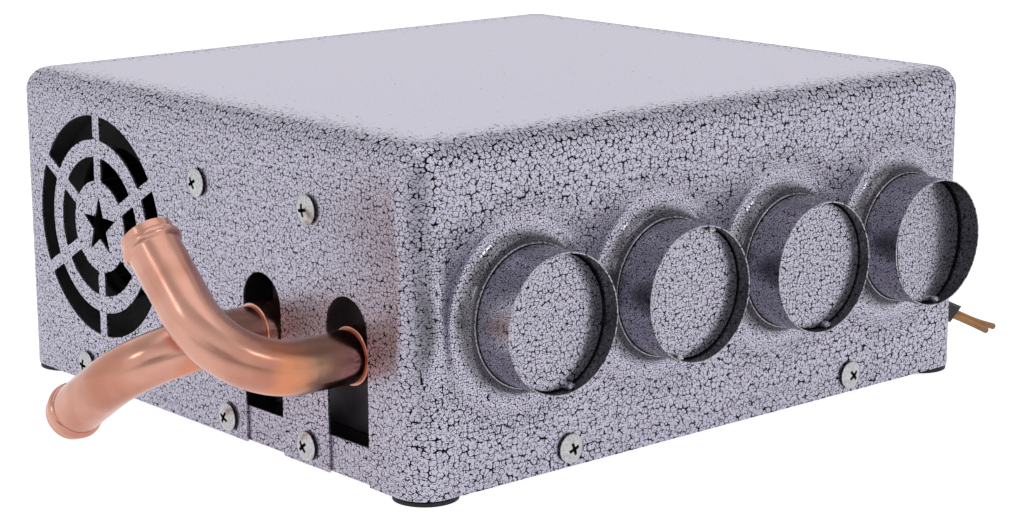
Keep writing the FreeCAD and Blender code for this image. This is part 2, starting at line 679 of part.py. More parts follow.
def outlet_collar(number):
    # A tube for the duct hose, drawn in by the neck where it passes the case's flange
    back = CASE_SHEET + COLLAR_SHEET
    neck_y = -FLANGE_FILLET - COLLAR_NECK_GAP
    neck_radius = OUTLET_RADIUS - COLLAR_NECK
    lug_reach = OUTLET_RADIUS + COLLAR_LUG_LENGTH
    lip = Vector(0, -OUTLET_LENGTH, 0)
    spigot = rod(lip, Y, OUTLET_RADIUS, OUTLET_LENGTH + neck_y)
    neck = rod(lip, Y, neck_radius, OUTLET_LENGTH + back)
    flange = rod(Vector(0, CASE_SHEET, 0), Y, OUTLET_RADIUS + COLLAR_FLANGE_WIDTH, COLLAR_SHEET)
    lugs = box(
        Vector(-COLLAR_LUG_WIDTH / 2, CASE_SHEET, -lug_reach),
        Vector(COLLAR_LUG_WIDTH / 2, back, lug_reach),
    )
    mouth_depth = OUTLET_LENGTH + neck_y - COLLAR_SHEET
    mouth = rod(lip - Y * CUT_PAST, Y, COLLAR_BORE_RADIUS, mouth_depth + CUT_PAST)
    throat = rod(lip, Y, neck_radius - COLLAR_SHEET, OUTLET_LENGTH + back + CUT_PAST)
    pivot_reach = OUTLET_RADIUS + CUT_PAST
    pivot_foot = Vector(0, PIVOT_Y, -pivot_reach)
    pivot_holes = rod(pivot_foot, Z, RIVET_RADIUS + RIVET_CLEARANCE, 2 * pivot_reach)
    pivot_holes.rotate(Vector(), Y, DAMPER_TILTS[number])
    collar = cut_all(fuse_all([spigot, neck, flange, lugs]), [mouth, throat, pivot_holes])
    return rounded_ends(collar, COLLAR_LIP_ROUNDING, [lip]).translated(OUTLET_PLACES[number])


def damper_disc(number):
    disc_y = PIVOT_Y + DAMPER_SETBACK
    radius = COLLAR_BORE_RADIUS - DAMPER_GAP
    ear_z = COLLAR_BORE_RADIUS - EAR_GAP
    front = Vector(0, disc_y, 0)
    plate = rod(front, Y, radius, DAMPER_SHEET)
    pieces = [rounded_ends(plate, DAMPER_EDGE_ROUNDING, [front, front + Y * DAMPER_SHEET])]
    for bottom in (ear_z - DAMPER_SHEET, -ear_z):
        pieces.append(rod(Vector(0, PIVOT_Y, bottom), Z, EAR_WIDTH / 2, DAMPER_SHEET))
        pieces.append(box(
            Vector(-EAR_WIDTH / 2, PIVOT_Y, bottom),
            Vector(EAR_WIDTH / 2, disc_y + DAMPER_SHEET / 2, bottom + DAMPER_SHEET),
        ))
    rivet_hole = rod(Vector(0, PIVOT_Y, -OUTLET_RADIUS), Z, RIVET_RADIUS, 2 * OUTLET_RADIUS)
    disc = fuse_all(pieces).cut(rivet_hole)
    disc.rotate(Vector(0, PIVOT_Y, 0), Z, DAMPER_REST_ANGLES[number])
    return at_outlet(disc, number, DAMPER_TILTS[number])


def damper_pivots(number):
    ear_inside = COLLAR_BORE_RADIUS - EAR_GAP - DAMPER_SHEET
    end = OUTLET_RADIUS - RIVET_END_SINK
    rivets = []
    for side in (1, -1):
        head_start = Vector(0, PIVOT_Y, side * (ear_inside - RIVET_HEAD_HEIGHT))
        head = rod(head_start, Z * side, RIVET_HEAD_RADIUS, RIVET_HEAD_HEIGHT)
        shank = rod(Vector(0, PIVOT_Y, side * ear_inside), Z * side, RIVET_RADIUS, end - ear_inside)
        rivet = fuse_all([head, shank])
        rivet.rotate(Vector(0, PIVOT_Y, 0), Z, DAMPER_REST_ANGLES[number])
        rivets.append(at_outlet(rivet, number, DAMPER_TILTS[number]))
    return Part.makeCompound(rivets)


def coolant_pipe(y, angle):
    # Out of its socket along -x, round a right-angle bend, then along the wall at the given angle
    along = Vector(0, math.cos(math.radians(angle)), math.sin(math.radians(angle)))
    corner = Vector(-PIPE_STANDOFF, y, PIPE_Z)
    start = Vector(PIPE_INSIDE, y, PIPE_Z)
    end = corner + along * PIPE_LEG
    bend_start = corner + X * PIPE_BEND_RADIUS
    bend_end = corner + along * PIPE_BEND_RADIUS
    bend_centre = bend_start + along * PIPE_BEND_RADIUS
    bend_middle = bend_centre + (corner - bend_centre).normalize() * PIPE_BEND_RADIUS
    path = Part.Wire([
        Part.makeLine(start, bend_start),
        Part.Arc(bend_start, bend_middle, bend_end).toShape(),
        Part.makeLine(bend_end, end),
    ])
    bead_centre = end - along * PIPE_BEAD_FROM_END
    bead = Part.makeTorus(PIPE_BEAD_RADIUS - PIPE_BEAD_SECTION, PIPE_BEAD_SECTION, bead_centre, along)
    outside = fuse_all([swept_rod(path, PIPE_RADIUS), bead])
    pipe = outside.cut(swept_rod(path, PIPE_RADIUS - PIPE_WALL))
    return rounded_ends(pipe, PIPE_END_ROUNDING, [end])


def core_sockets():
    # Copper cups that the pipes are brazed into, the rear one longer
    bore = PIPE_RADIUS + SOCKET_CLEARANCE
    sockets = []
    for y, mouth_x in zip(PIPE_YS, SOCKET_MOUTHS):
        mouth = Vector(mouth_x, y, PIPE_Z)
        length = CORE_SIDE_GAP - mouth_x
        cup = rounded_ends(rod(mouth, X, bore + SOCKET_WALL, length), SOCKET_ROUNDING, [mouth])
        sockets.append(cup.cut(rod(mouth, X, bore, length)))
    return Part.makeCompound(sockets)


def tube_places():
    places = []
    row_step = (CORE_TOP_Z - CORE_BOTTOM_Z - 2 * TUBE_END_MARGIN) / (TUBE_ROWS - 1)
    column_step = (CORE_THICKNESS - 2 * TUBE_EDGE_MARGIN) / (TUBE_COLUMNS - 1)
    for column in range(TUBE_COLUMNS):
        for row in range(TUBE_ROWS):
            y = CORE_FROM_FRONT + TUBE_EDGE_MARGIN + column * column_step
            places.append(Vector(CORE_LEFT_X, y, CORE_BOTTOM_Z + TUBE_END_MARGIN + row * row_step))
    return places


def core_tubes():
    length = CORE_RIGHT_X - CORE_LEFT_X
    return Part.makeCompound([
        pipe_piece(place, X, TUBE_RADIUS, TUBE_RADIUS - TUBE_WALL, length)
        for place in tube_places()
    ])


def core_fins():
    first_x = CORE_LEFT_X + FIN_END_GAP
    count = int((CORE_RIGHT_X - FIN_END_GAP - FIN_THICKNESS - first_x) / FIN_PITCH) + 1
    fin = box(
        Vector(first_x, CORE_FROM_FRONT, CORE_BOTTOM_Z),
        Vector(first_x + FIN_THICKNESS, CORE_BACK_Y, CORE_TOP_Z),
    )
    fin = cut_all(fin, [rod(place, X, TUBE_RADIUS, FIN_END_GAP + CUT_PAST) for place in tube_places()])
    return Part.makeCompound([fin.translated(X * FIN_PITCH * n) for n in range(count)])


def core_tank(with_sockets):
    # Left-hand end tank: a flat box with rounded outer edges, open to every tube
    low = Vector(CORE_SIDE_GAP, CORE_FROM_FRONT, CORE_BOTTOM_Z)
    high = Vector(CORE_LEFT_X, CORE_BACK_Y, CORE_TOP_Z)
    wall = Vector(TANK_WALL, TANK_WALL, TANK_WALL)
    tank = box(low, high)
    outer_edges = [
        edge for edge in tank.Edges
        if all(abs(vertex.X - low.x) < LEVEL_TOLERANCE for vertex in edge.Vertexes)
    ]
    tank = tank.makeFillet(TANK_EDGE_RADIUS, outer_edges)
    hollow_low = low + wall
    hollow_high = high - wall
    hollows = [box(hollow_low, hollow_high)]
    hole_depth = TANK_WALL + 2 * CUT_PAST
    holes = [rod(place + X * CUT_PAST, -X, TUBE_RADIUS - TUBE_WALL, hole_depth) for place in tube_places()]
    if with_sockets:
        middle_y = (low.y + high.y) / 2
        hollows = [
            box(hollow_low, Vector(hollow_high.x, middle_y - TANK_WALL / 2, hollow_high.z)),
            box(Vector(hollow_low.x, middle_y + TANK_WALL / 2, hollow_low.z), hollow_high),
        ]
        holes += [rod(Vector(low.x - CUT_PAST, y, PIPE_Z), X, PIPE_RADIUS, hole_depth) for y in PIPE_YS]
    return cut_all(tank, hollows + holes)


def core_seals():
    below = box(
        Vector(SEAL_SIDE_INSET, CORE_FROM_FRONT, TRAY_FLOOR_Z),
        Vector(CASE_WIDTH - SEAL_SIDE_INSET, CORE_BACK_Y, CORE_BOTTOM_Z),
    )
    shelf_end = CASE_SHEET + RAIL_SHELF_WIDTH + SEAL_SHELF_GAP
    above = box(
        Vector(shelf_end, CORE_FROM_FRONT, CORE_TOP_Z),
        Vector(CASE_WIDTH - shelf_end, CORE_BACK_Y, ROOF_Z),
    )
    return Part.makeCompound([below, above])


def side_rail():
    # Left rail: a leg on the wall for two screws and a shelf over the core's tank
    leg = box(
        Vector(CASE_SHEET, RAIL_SCREW_FROM_FRONT - RAIL_END_MARGIN, UPPER_SCREW_Z - RAIL_SCREW_MARGIN),
        Vector(RAIL_INNER_X, PARTITION_SCREW_Y + RAIL_END_MARGIN, CORE_TOP_Z + RAIL_SHEET),
    )
    shelf = box(
        Vector(CASE_SHEET, RAIL_SCREW_FROM_FRONT - RAIL_END_MARGIN, CORE_TOP_Z),
        Vector(CASE_SHEET + RAIL_SHELF_WIDTH, CORE_BACK_Y, CORE_TOP_Z + RAIL_SHEET),
    )
    radius = SCREW_RADIUS + SCREW_THREAD_CLEARANCE
    holes = [rod(place, X, radius, SCREW_LENGTH) for place in upper_screw_places()]
    return cut_all(fuse_all([leg, shelf]), holes)


def volute_outline(grow, past_mouth):
    # Spiral of three quarter arcs that opens towards the core, grown outwards by the wall
    top = VOLUTE_TOP_RADIUS + grow
    back = top - HOUSING_SPIRAL_STEP
    under = back - HOUSING_SPIRAL_STEP
    step = HOUSING_SPIRAL_STEP
    mouth_y = PARTITION_BACK_Y - past_mouth
    tongue_z = FAN_Z + HOUSING_TONGUE_RISE - grow
    hub = Vector(0, FAN_Y, FAN_Z)
    back_hub = hub + Y * step
    under_hub = back_hub - Z * step
    top_point = hub + Z * top
    back_point = hub + Y * top
    under_point = back_hub - Z * back
    front_point = under_hub - Y * under
    tongue = Vector(0, front_point.y, tongue_z)
    mouth_low = Vector(0, mouth_y, tongue_z)
    mouth_high = Vector(0, mouth_y, top_point.z)
    return Part.Wire([
        Part.makeLine(mouth_high, top_point),
        Part.Arc(top_point, hub + (Y + Z) * (top * DIAGONAL), back_point).toShape(),
        Part.Arc(back_point, back_hub + (Y - Z) * (back * DIAGONAL), under_point).toShape(),
        Part.Arc(under_point, under_hub + (-Y - Z) * (under * DIAGONAL), front_point).toShape(),
        Part.makeLine(front_point, tongue),
        Part.makeLine(tongue, mouth_low),
        Part.makeLine(mouth_low, mouth_high),
    ])


def housing_flange_box(margin):
    # The frame round the volute's mouth, against the partition
    return box(
        Vector(HOUSING_X - margin, PARTITION_BACK_Y, FAN_Z + HOUSING_TONGUE_RISE - HOUSING_WALL - margin),
        Vector(
            HOUSING_X + HOUSING_WIDTH + margin,
            PARTITION_BACK_Y + HOUSING_WALL,
            FAN_Z + VOLUTE_TOP_RADIUS + HOUSING_WALL,
        ),
    )


def housing_screw_places():
    low_z = FAN_Z + HOUSING_TONGUE_RISE - HOUSING_WALL - HOUSING_FLANGE / 2
    side = HOUSING_FLANGE / 2
    high_z = FAN_Z + VOLUTE_TOP_RADIUS - HOUSING_FLANGE
    right = HOUSING_X + HOUSING_WIDTH + side
    return [
        Vector(HOUSING_X + HOUSING_WIDTH / 4, PARTITION_BACK_Y, low_z),
        Vector(HOUSING_X + HOUSING_WIDTH * 3 / 4, PARTITION_BACK_Y, low_z),
        Vector(right, PARTITION_BACK_Y, high_z),
    ]


def housing_screw_holes():
    start = PARTITION_SHEET + CUT_PAST
    depth = start + HOUSING_WALL + CUT_PAST
    return [rod(place - Y * start, Y, HOUSING_SCREW_RADIUS, depth) for place in housing_screw_places()]


def blower_housing():
    # Left housing: a spiral box, open at the mouth, with the inlet eye towards the grille
    left = HOUSING_X
    right = HOUSING_X + HOUSING_WIDTH
    body = extruded_x(volute_outline(HOUSING_WALL, 0.0), left, right)
    body = fuse_all([body, housing_flange_box(HOUSING_FLANGE)])
    hollow = extruded_x(volute_outline(0.0, CUT_PAST), left + HOUSING_WALL, right - HOUSING_WALL)
    cut_depth = HOUSING_WALL + 2 * CUT_PAST
    eye = rod(Vector(left - CUT_PAST, FAN_Y, FAN_Z), X, BLADE_INNER_RADIUS, cut_depth)
    shaft_hole = rod(Vector(right + CUT_PAST, FAN_Y, FAN_Z), -X, HOUSING_SHAFT_HOLE, cut_depth)
    return cut_all(body, [hollow, eye, shaft_hole] + housing_screw_holes())


def housing_screws():
    screws = []
    for place in housing_screw_places():
        seat = place + Y * HOUSING_WALL
        shank = rod(seat, -Y, HOUSING_SCREW_RADIUS, HOUSING_WALL + PARTITION_SHEET)
        head = rod(seat, Y, HOUSING_SCREW_HEAD_RADIUS, HOUSING_SCREW_HEAD_HEIGHT)
        screw = fuse_all([shank, head])
        screws += [screw, mirrored(screw)]
    return Part.makeCompound(screws)


def blower_partition():
    top_z = ROOF_Z - PARTITION_TOP_GAP
    plate = box(
        Vector(RAIL_INNER_X, PARTITION_Y, TRAY_FLOOR_Z),
        Vector(CASE_WIDTH - RAIL_INNER_X, PARTITION_BACK_Y, top_z),
    )
    flange = box(
        Vector(RAIL_INNER_X, PARTITION_Y, UPPER_SCREW_Z - RAIL_SCREW_MARGIN),
        Vector(RAIL_INNER_X + PARTITION_SHEET, PARTITION_Y + PARTITION_FLANGE, CORE_TOP_Z),
    )
    mouth = box(
        Vector(HOUSING_X + HOUSING_WALL, PARTITION_Y - CUT_PAST, FAN_Z + HOUSING_TONGUE_RISE),
        Vector(HOUSING_X + HOUSING_WIDTH - HOUSING_WALL, PARTITION_BACK_Y + CUT_PAST, top_z + CUT_PAST),
    )
    lead_hole = rod(
        Vector(INNER_LEAD_SIDE_X, PARTITION_Y - CUT_PAST, INNER_LEAD_Z),
        Y,
        INNER_LEAD_RADIUS + LEAD_HOLE_CLEARANCE,
        PARTITION_SHEET + 2 * CUT_PAST,
    )
    radius = SCREW_RADIUS + SCREW_THREAD_CLEARANCE
    cutters = [mouth, mirrored(mouth), lead_hole]
    for place in upper_screw_places():
        hole = rod(place, X, radius, SCREW_LENGTH)
        cutters += [hole, mirrored(hole)]
    for hole in housing_screw_holes():
        cutters += [hole, mirrored(hole)]
    return cut_all(fuse_all([plate, flange, mirrored(flange)]), cutters)


def inlet_seals():
    inner = GRILLE_RADIUS + INLET_SEAL_MARGIN
    seal = pipe_piece(
        Vector(CASE_SHEET, FAN_Y, FAN_Z), X, inner + INLET_SEAL_WIDTH, inner, HOUSING_SIDE_GAP
    )
    return Part.makeCompound([seal, mirrored(seal)])


def impeller():
    # Left squirrel-cage wheel: open ring at the eye, blades, disc and hub on the motor's side
    open_x = HOUSING_X + HOUSING_WALL + IMPELLER_SIDE_GAP
    disc_x = HOUSING_X + HOUSING_WIDTH - HOUSING_WALL - IMPELLER_SIDE_GAP
    axis = Vector(0, FAN_Y, FAN_Z)
    ring = pipe_piece(axis + X * open_x, X, IMPELLER_RADIUS, BLADE_INNER_RADIUS, IMPELLER_RING)
    disc = rod(axis + X * (disc_x - IMPELLER_DISC), X, IMPELLER_RADIUS, IMPELLER_DISC)
    hub = rod(axis + X * (disc_x - IMPELLER_HUB_LENGTH), X, IMPELLER_HUB_RADIUS, IMPELLER_HUB_LENGTH)
    middle = BLADE_INNER_RADIUS + BLADE_DEPTH / 2
    blade = box(
        Vector(open_x, -BLADE_THICKNESS / 2, -BLADE_CHORD / 2),
        Vector(disc_x, BLADE_THICKNESS / 2, BLADE_CHORD / 2),
    )
    blade.rotate(Vector(), X, BLADE_LEAN)
    blade.translate(axis + Z * middle)
    pieces = [ring, disc, hub]
    for n in range(BLADE_COUNT):
        turned = blade.copy()
        turned.rotate(axis, X, n * 360 / BLADE_COUNT)
        pieces.append(turned)
    bore = rod(axis, X, SHAFT_RADIUS, CASE_WIDTH)
    return fuse_all(pieces).cut(bore)


def motor_axis_point(x):
    return Vector(x, FAN_Y, FAN_Z)


def motor_can():
    return pipe_piece(motor_axis_point(MOTOR_LEFT_X), X, MOTOR_RADIUS, MAGNET_RADIUS, MOTOR_LENGTH)


def motor_cap():
    # Left cap with its bearing boss
    disc = rod(motor_axis_point(MOTOR_LEFT_X), -X, MOTOR_RADIUS, MOTOR_CAP)
    boss = rod(motor_axis_point(MOTOR_LEFT_X), -X, MOTOR_BOSS_RADIUS, MOTOR_CAP + MOTOR_BOSS_LENGTH)
    bore_length = MOTOR_CAP + MOTOR_BOSS_LENGTH + 2 * CUT_PAST
    bore = rod(motor_axis_point(MOTOR_LEFT_X + CUT_PAST), -X, BEARING_RADIUS, bore_length)
    return fuse_all([disc, boss]).cut(bore)


def motor_bearings():
    bearing = pipe_piece(
        motor_axis_point(MOTOR_LEFT_X),
        -X,
        BEARING_RADIUS,
        SHAFT_RADIUS + SHAFT_CLEARANCE,
        MOTOR_CAP + MOTOR_BOSS_LENGTH,
    )
    return Part.makeCompound([bearing, mirrored(bearing)])


def motor_magnets():
    length = MOTOR_LENGTH - 2 * MAGNET_END_GAP
    start = motor_axis_point(MOTOR_LEFT_X + MAGNET_END_GAP)
    ring = pipe_piece(start, X, MAGNET_RADIUS, MAGNET_RADIUS - MAGNET_THICKNESS, length)
    half = Vector(0, MAGNET_SPLIT / 2, MOTOR_RADIUS)
    gap = box(start - half, start + half + X * length)
    return ring.cut(gap)


def motor_armature():
    length = MOTOR_LENGTH - 2 * ARMATURE_END_GAP - COMMUTATOR_LENGTH
    start = motor_axis_point(MOTOR_LEFT_X + ARMATURE_END_GAP)
    stack = rod(start, X, ARMATURE_RADIUS, length)
    slots = []
    for n in range(ARMATURE_SLOTS):
        slot = box(
            start + Vector(-CUT_PAST, -ARMATURE_SLOT_WIDTH / 2, ARMATURE_RADIUS - ARMATURE_SLOT_DEPTH),
            start + Vector(length + CUT_PAST, ARMATURE_SLOT_WIDTH / 2, ARMATURE_RADIUS + CUT_PAST),
        )
        slot.rotate(start, X, n * 360 / ARMATURE_SLOTS)
        slots.append(slot)
    bore = rod(start - X * CUT_PAST, X, SHAFT_RADIUS, length + 2 * CUT_PAST)
    return cut_all(stack, slots + [bore])


def commutator_start():
    return motor_axis_point(MOTOR_RIGHT_X - COMMUTATOR_END_GAP - COMMUTATOR_LENGTH)


def motor_commutator():
    return pipe_piece(commutator_start(), X, COMMUTATOR_RADIUS, SHAFT_RADIUS, COMMUTATOR_LENGTH)


def motor_brush_card():
    middle = commutator_start() + X * (COMMUTATOR_LENGTH - BRUSH_CARD_THICKNESS) / 2
    card = pipe_piece(middle, X, MAGNET_RADIUS, BRUSH_CARD_BORE, BRUSH_CARD_THICKNESS)
    near = COMMUTATOR_RADIUS + BRUSH_GAP
    brushes = []
    for side in (1, -1):
        low, high = sorted((side * near, side * (BRUSH_CARD_BORE + BRUSH_OVERLAP)))
        brushes.append(box(
            middle + Vector(0, -BRUSH_WIDTH / 2, low),
            middle + Vector(BRUSH_CARD_THICKNESS, BRUSH_WIDTH / 2, high),
        ))
    return fuse_all([card] + brushes)


def motor_shaft():
    hub_end = HOUSING_X + HOUSING_WIDTH - HOUSING_WALL - IMPELLER_SIDE_GAP - IMPELLER_HUB_LENGTH
    left_end = hub_end - SHAFT_END_REACH
    return rod(motor_axis_point(left_end), X, SHAFT_RADIUS, CASE_WIDTH - 2 * left_end)


def strap_screw_places():
    offset = MOTOR_RADIUS + STRAP_SHEET + STRAP_EAR / 2
    return [Vector(CASE_WIDTH / 2, FAN_Y + side * offset, CRADLE_TOP_Z) for side in (1, -1)]


def strap_screw_holes():
    radius = STRAP_SCREW_RADIUS + FASTENER_CLEARANCE
    depth = 2 * CRADLE_SHEET + STRAP_SHEET
    return [rod(place - Z * CRADLE_SHEET, Z, radius, depth) for place in strap_screw_places()]


def motor_cradle():
    reach = MOTOR_RADIUS + STRAP_SHEET + STRAP_EAR
    plate = box(
        Vector(MOTOR_LEFT_X, FAN_Y - reach, TRAY_FLOOR_Z),
        Vector(MOTOR_RIGHT_X, FAN_Y + reach, CRADLE_TOP_Z),
    )
    pieces = [plate]
    for x in (MOTOR_LEFT_X + CRADLE_WEB_INSET, MOTOR_RIGHT_X - CRADLE_WEB_INSET - CRADLE_SHEET):
        pieces.append(box(
            Vector(x, FAN_Y - CRADLE_WEB_HALF_WIDTH, TRAY_FLOOR_Z),
            Vector(x + CRADLE_SHEET, FAN_Y + CRADLE_WEB_HALF_WIDTH, FAN_Z - CRADLE_WEB_BELOW_AXIS),
        ))
    can_start = motor_axis_point(MOTOR_LEFT_X - CUT_PAST)
    can_space = rod(can_start, X, MOTOR_RADIUS, MOTOR_LENGTH + 2 * CUT_PAST)
    return cut_all(fuse_all(pieces), [can_space] + strap_screw_holes())


def motor_strap():
    left = (CASE_WIDTH - STRAP_WIDTH) / 2
    outer = MOTOR_RADIUS + STRAP_SHEET
    bow = pipe_piece(motor_axis_point(left), X, outer, MOTOR_RADIUS, STRAP_WIDTH)
    upper = box(
        Vector(left, FAN_Y - outer, FAN_Z),
        Vector(left + STRAP_WIDTH, FAN_Y + outer, FAN_Z + outer),
    )
    pieces = [bow.common(upper)]
    for side in (1, -1):
        leg_low, leg_high = sorted((side * MOTOR_RADIUS, side * outer))
        ear_low, ear_high = sorted((side * MOTOR_RADIUS, side * (outer + STRAP_EAR)))
        pieces.append(box(
            Vector(left, FAN_Y + leg_low, CRADLE_TOP_Z),
            Vector(left + STRAP_WIDTH, FAN_Y + leg_high, FAN_Z),
        ))
        pieces.append(box(
            Vector(left, FAN_Y + ear_low, CRADLE_TOP_Z),
            Vector(left + STRAP_WIDTH, FAN_Y + ear_high, CRADLE_TOP_Z + STRAP_SHEET),
        ))
    return cut_all(fuse_all(pieces), strap_screw_holes())


def strap_screws():
    screws = []
    for place in strap_screw_places():
        seat = place + Z * STRAP_SHEET
        shank = rod(seat, -Z, STRAP_SCREW_RADIUS, STRAP_SHEET + CRADLE_SHEET + TRAY_SHEET)
        head = rod(seat, Z, STRAP_SCREW_HEAD_RADIUS, STRAP_SCREW_HEAD_HEIGHT)
        screws.append(fuse_all([shank, head]))
    return Part.makeCompound(screws)


def cable_grommet():
    centre = Vector(CASE_WIDTH, CABLE_FROM_FRONT, CABLE_Z)
    inside = centre - X * (CASE_SHEET + GROMMET_FLANGE)
    pieces = [
        rod(inside, X, GROMMET_RADIUS, GROMMET_FLANGE),
        rod(inside, X, GROMMET_GROOVE_RADIUS, CASE_SHEET + 2 * GROMMET_FLANGE),
        rod(centre, X, GROMMET_RADIUS, GROMMET_FLANGE),
    ]
    bore_length = CASE_SHEET + 2 * GROMMET_FLANGE + 2 * CUT_PAST
    bore = rod(inside - X * CUT_PAST, X, SLEEVE_RADIUS, bore_length)
    return fuse_all(pieces).cut(bore)


def cable_sleeve():
    # Cut off at a slant, so that its leads show from the front
    path = rounded_path(SLEEVE_ROUTE)
    sleeve = swept_rod(path, SLEEVE_RADIUS).cut(swept_rod(path, SLEEVE_BORE_RADIUS))
    end = SLEEVE_ROUTE[-1]
    along = (end - SLEEVE_ROUTE[-2]).normalize()
    cut_centre = end - along * SLEEVE_CUT_FROM_END
    cutter = rod(cut_centre, SLEEVE_CUT_NORMAL, CASE_HEIGHT, CASE_HEIGHT)
    return sleeve.cut(cutter)


def lead_wire(route):
    path = rounded_path(route)
    wire = swept_rod(path, LEAD_RADIUS)
    expected = math.pi * LEAD_RADIUS ** 2 * path.Length
    print("lead length", round(path.Length, 1), "volume ratio", round(wire.Volume / expected, 4))
    return wire


def inner_lead():
    return swept_rod(rounded_path(INNER_LEAD_ROUTE), INNER_LEAD_RADIUS)


def all_nodes():
    left_tank = core_tank(with_sockets=True)
    right_tank = mirrored(core_tank(with_sockets=False))
    left_housing = blower_housing()
    left_impeller = impeller()
    left_rail = side_rail()
    left_cap = motor_cap()
    nodes = {
        "case_shell": case_shell(),
        "base_tray": base_tray(),
        "feet": Part.makeCompound([foot().translated(place) for place in foot_places()]),
        "foot_screws": Part.makeCompound([foot_screw().translated(place) for place in foot_places()]),
        "foot_nuts": Part.makeCompound([foot_nut().translated(place) for place in foot_places()]),
        "case_screws": case_screws(),
        "coolant_pipe_upper": coolant_pipe(PIPE_YS[0], PIPE_UP_ANGLE),
        "coolant_pipe_lower": coolant_pipe(PIPE_YS[1], PIPE_DOWN_ANGLE),
        "core_sockets": core_sockets(),
        "core_tank_left": left_tank,
        "core_tank_right": right_tank,
        "core_tubes": core_tubes(),
        "core_fins": core_fins(),
        "core_seals": core_seals(),
        "side_rail_left": left_rail,
        "side_rail_right": mirrored(left_rail),
        "blower_partition": blower_partition(),
        "blower_housing_left": left_housing,
        "blower_housing_right": mirrored(left_housing),
        "housing_screws": housing_screws(),
        "inlet_seals": inlet_seals(),
        "impeller_left": left_impeller,
        "impeller_right": mirrored(left_impeller),
        "motor_shaft": motor_shaft(),
        "motor_armature": motor_armature(),
        "motor_commutator": motor_commutator(),
        "motor_brush_card": motor_brush_card(),
        "motor_magnets": motor_magnets(),
        "motor_can": motor_can(),
        "motor_cap_left": left_cap,
        "motor_cap_right": mirrored(left_cap),
        "motor_bearings": motor_bearings(),
        "motor_cradle": motor_cradle(),
        "motor_strap": motor_strap(),
        "strap_screws": strap_screws(),
        "cable_grommet": cable_grommet(),
        "cable_sleeve": cable_sleeve(),
        "inner_lead": inner_lead(),
        "lead_wire_1": lead_wire(LEAD_ROUTES[0]),
        "lead_wire_2": lead_wire(LEAD_ROUTES[1]),
    }
    for number in range(OUTLET_COUNT):
        nodes[f"outlet_collar_{number + 1}"] = outlet_collar(number)
        nodes[f"damper_disc_{number + 1}"] = damper_disc(number)
        nodes[f"damper_pivots_{number + 1}"] = damper_pivots(number)
    return nodes


os.makedirs("parts", exist_ok=True)
for name, shape in all_nodes().items():
    shape.translated(-ORIGIN).exportStep(f"parts/{name}.step")
    print(name, "solids", len(shape.Solids), "volume", round(shape.Volume, 1), "valid", shape.isValid())
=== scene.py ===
import math

import bmesh
import bpy
from mathutils import Matrix, Vector


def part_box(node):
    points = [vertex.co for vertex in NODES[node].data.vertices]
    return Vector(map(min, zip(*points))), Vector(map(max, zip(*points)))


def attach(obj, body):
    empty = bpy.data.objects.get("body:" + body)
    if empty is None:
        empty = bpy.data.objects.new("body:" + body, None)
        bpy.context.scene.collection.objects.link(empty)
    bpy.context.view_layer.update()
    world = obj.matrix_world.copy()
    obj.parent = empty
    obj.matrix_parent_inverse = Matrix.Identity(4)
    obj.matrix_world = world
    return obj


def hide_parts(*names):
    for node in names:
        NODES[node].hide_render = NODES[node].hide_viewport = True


# Vehicle cab heater in silver crackle paint with copper coolant pipes, on a white studio floor.
# Metres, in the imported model's own frame. Texture sizes are in millimetres.

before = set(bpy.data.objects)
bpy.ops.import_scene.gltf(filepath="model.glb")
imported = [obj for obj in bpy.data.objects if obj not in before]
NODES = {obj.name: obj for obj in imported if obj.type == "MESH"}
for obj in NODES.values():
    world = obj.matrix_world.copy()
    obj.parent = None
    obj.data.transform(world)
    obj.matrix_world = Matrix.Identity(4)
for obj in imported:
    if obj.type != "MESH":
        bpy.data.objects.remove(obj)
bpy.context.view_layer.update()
MM = 0.001

# Camera, fitted to the photograph
CAMERA_PLACE = Vector((-0.5875, -0.7202, 0.2571))
CAMERA_YAW = math.radians(-40.677)
CAMERA_RISE = math.radians(12.615)
CAMERA_ROLL = math.radians(-0.287)
CAMERA_LENS_MM = 84.93
CAMERA_SENSOR_MM = 36.0

# The case and its outlets in the model's frame, in millimetres for the textures; only the collars' boxes
# are in metres
OUTLET_LENGTH = 23.0
OUTLET_COUNT = 4
CASE_LOW, CASE_HIGH = (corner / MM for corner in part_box("case_shell"))
COLLAR_BOXES = [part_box(f"outlet_collar_{number}") for number in range(1, OUTLET_COUNT + 1)]
CASE_FRONT = COLLAR_BOXES[0][0].y / MM + OUTLET_LENGTH
OUTLET_CENTRES = [(low + high) / (2 * MM) for low, high in COLLAR_BOXES]
OUTLET_PITCH = OUTLET_CENTRES[1].x - OUTLET_CENTRES[0].x
OUTLET_RADIUS = 24.5
FLANGE_FILLET = 6.5

# Case screws in millimetres, each measured from the middle of its box
SCREW_HEAD_RADIUS = 5.5
SCREW_HEAD_HEIGHT = 2.6
SCREW_HEAD_EDGE = 1.1
SCREW_LENGTH = 7.0
SCREW_TOP = (SCREW_HEAD_HEIGHT + SCREW_LENGTH) / 2
SCREW_RISE = SCREW_HEAD_HEIGHT - SCREW_HEAD_EDGE
SCREW_DOME_RADIUS = (SCREW_HEAD_RADIUS ** 2 + SCREW_RISE ** 2) / (2 * SCREW_RISE)
SCREW_CROSS_REACH = 2.4

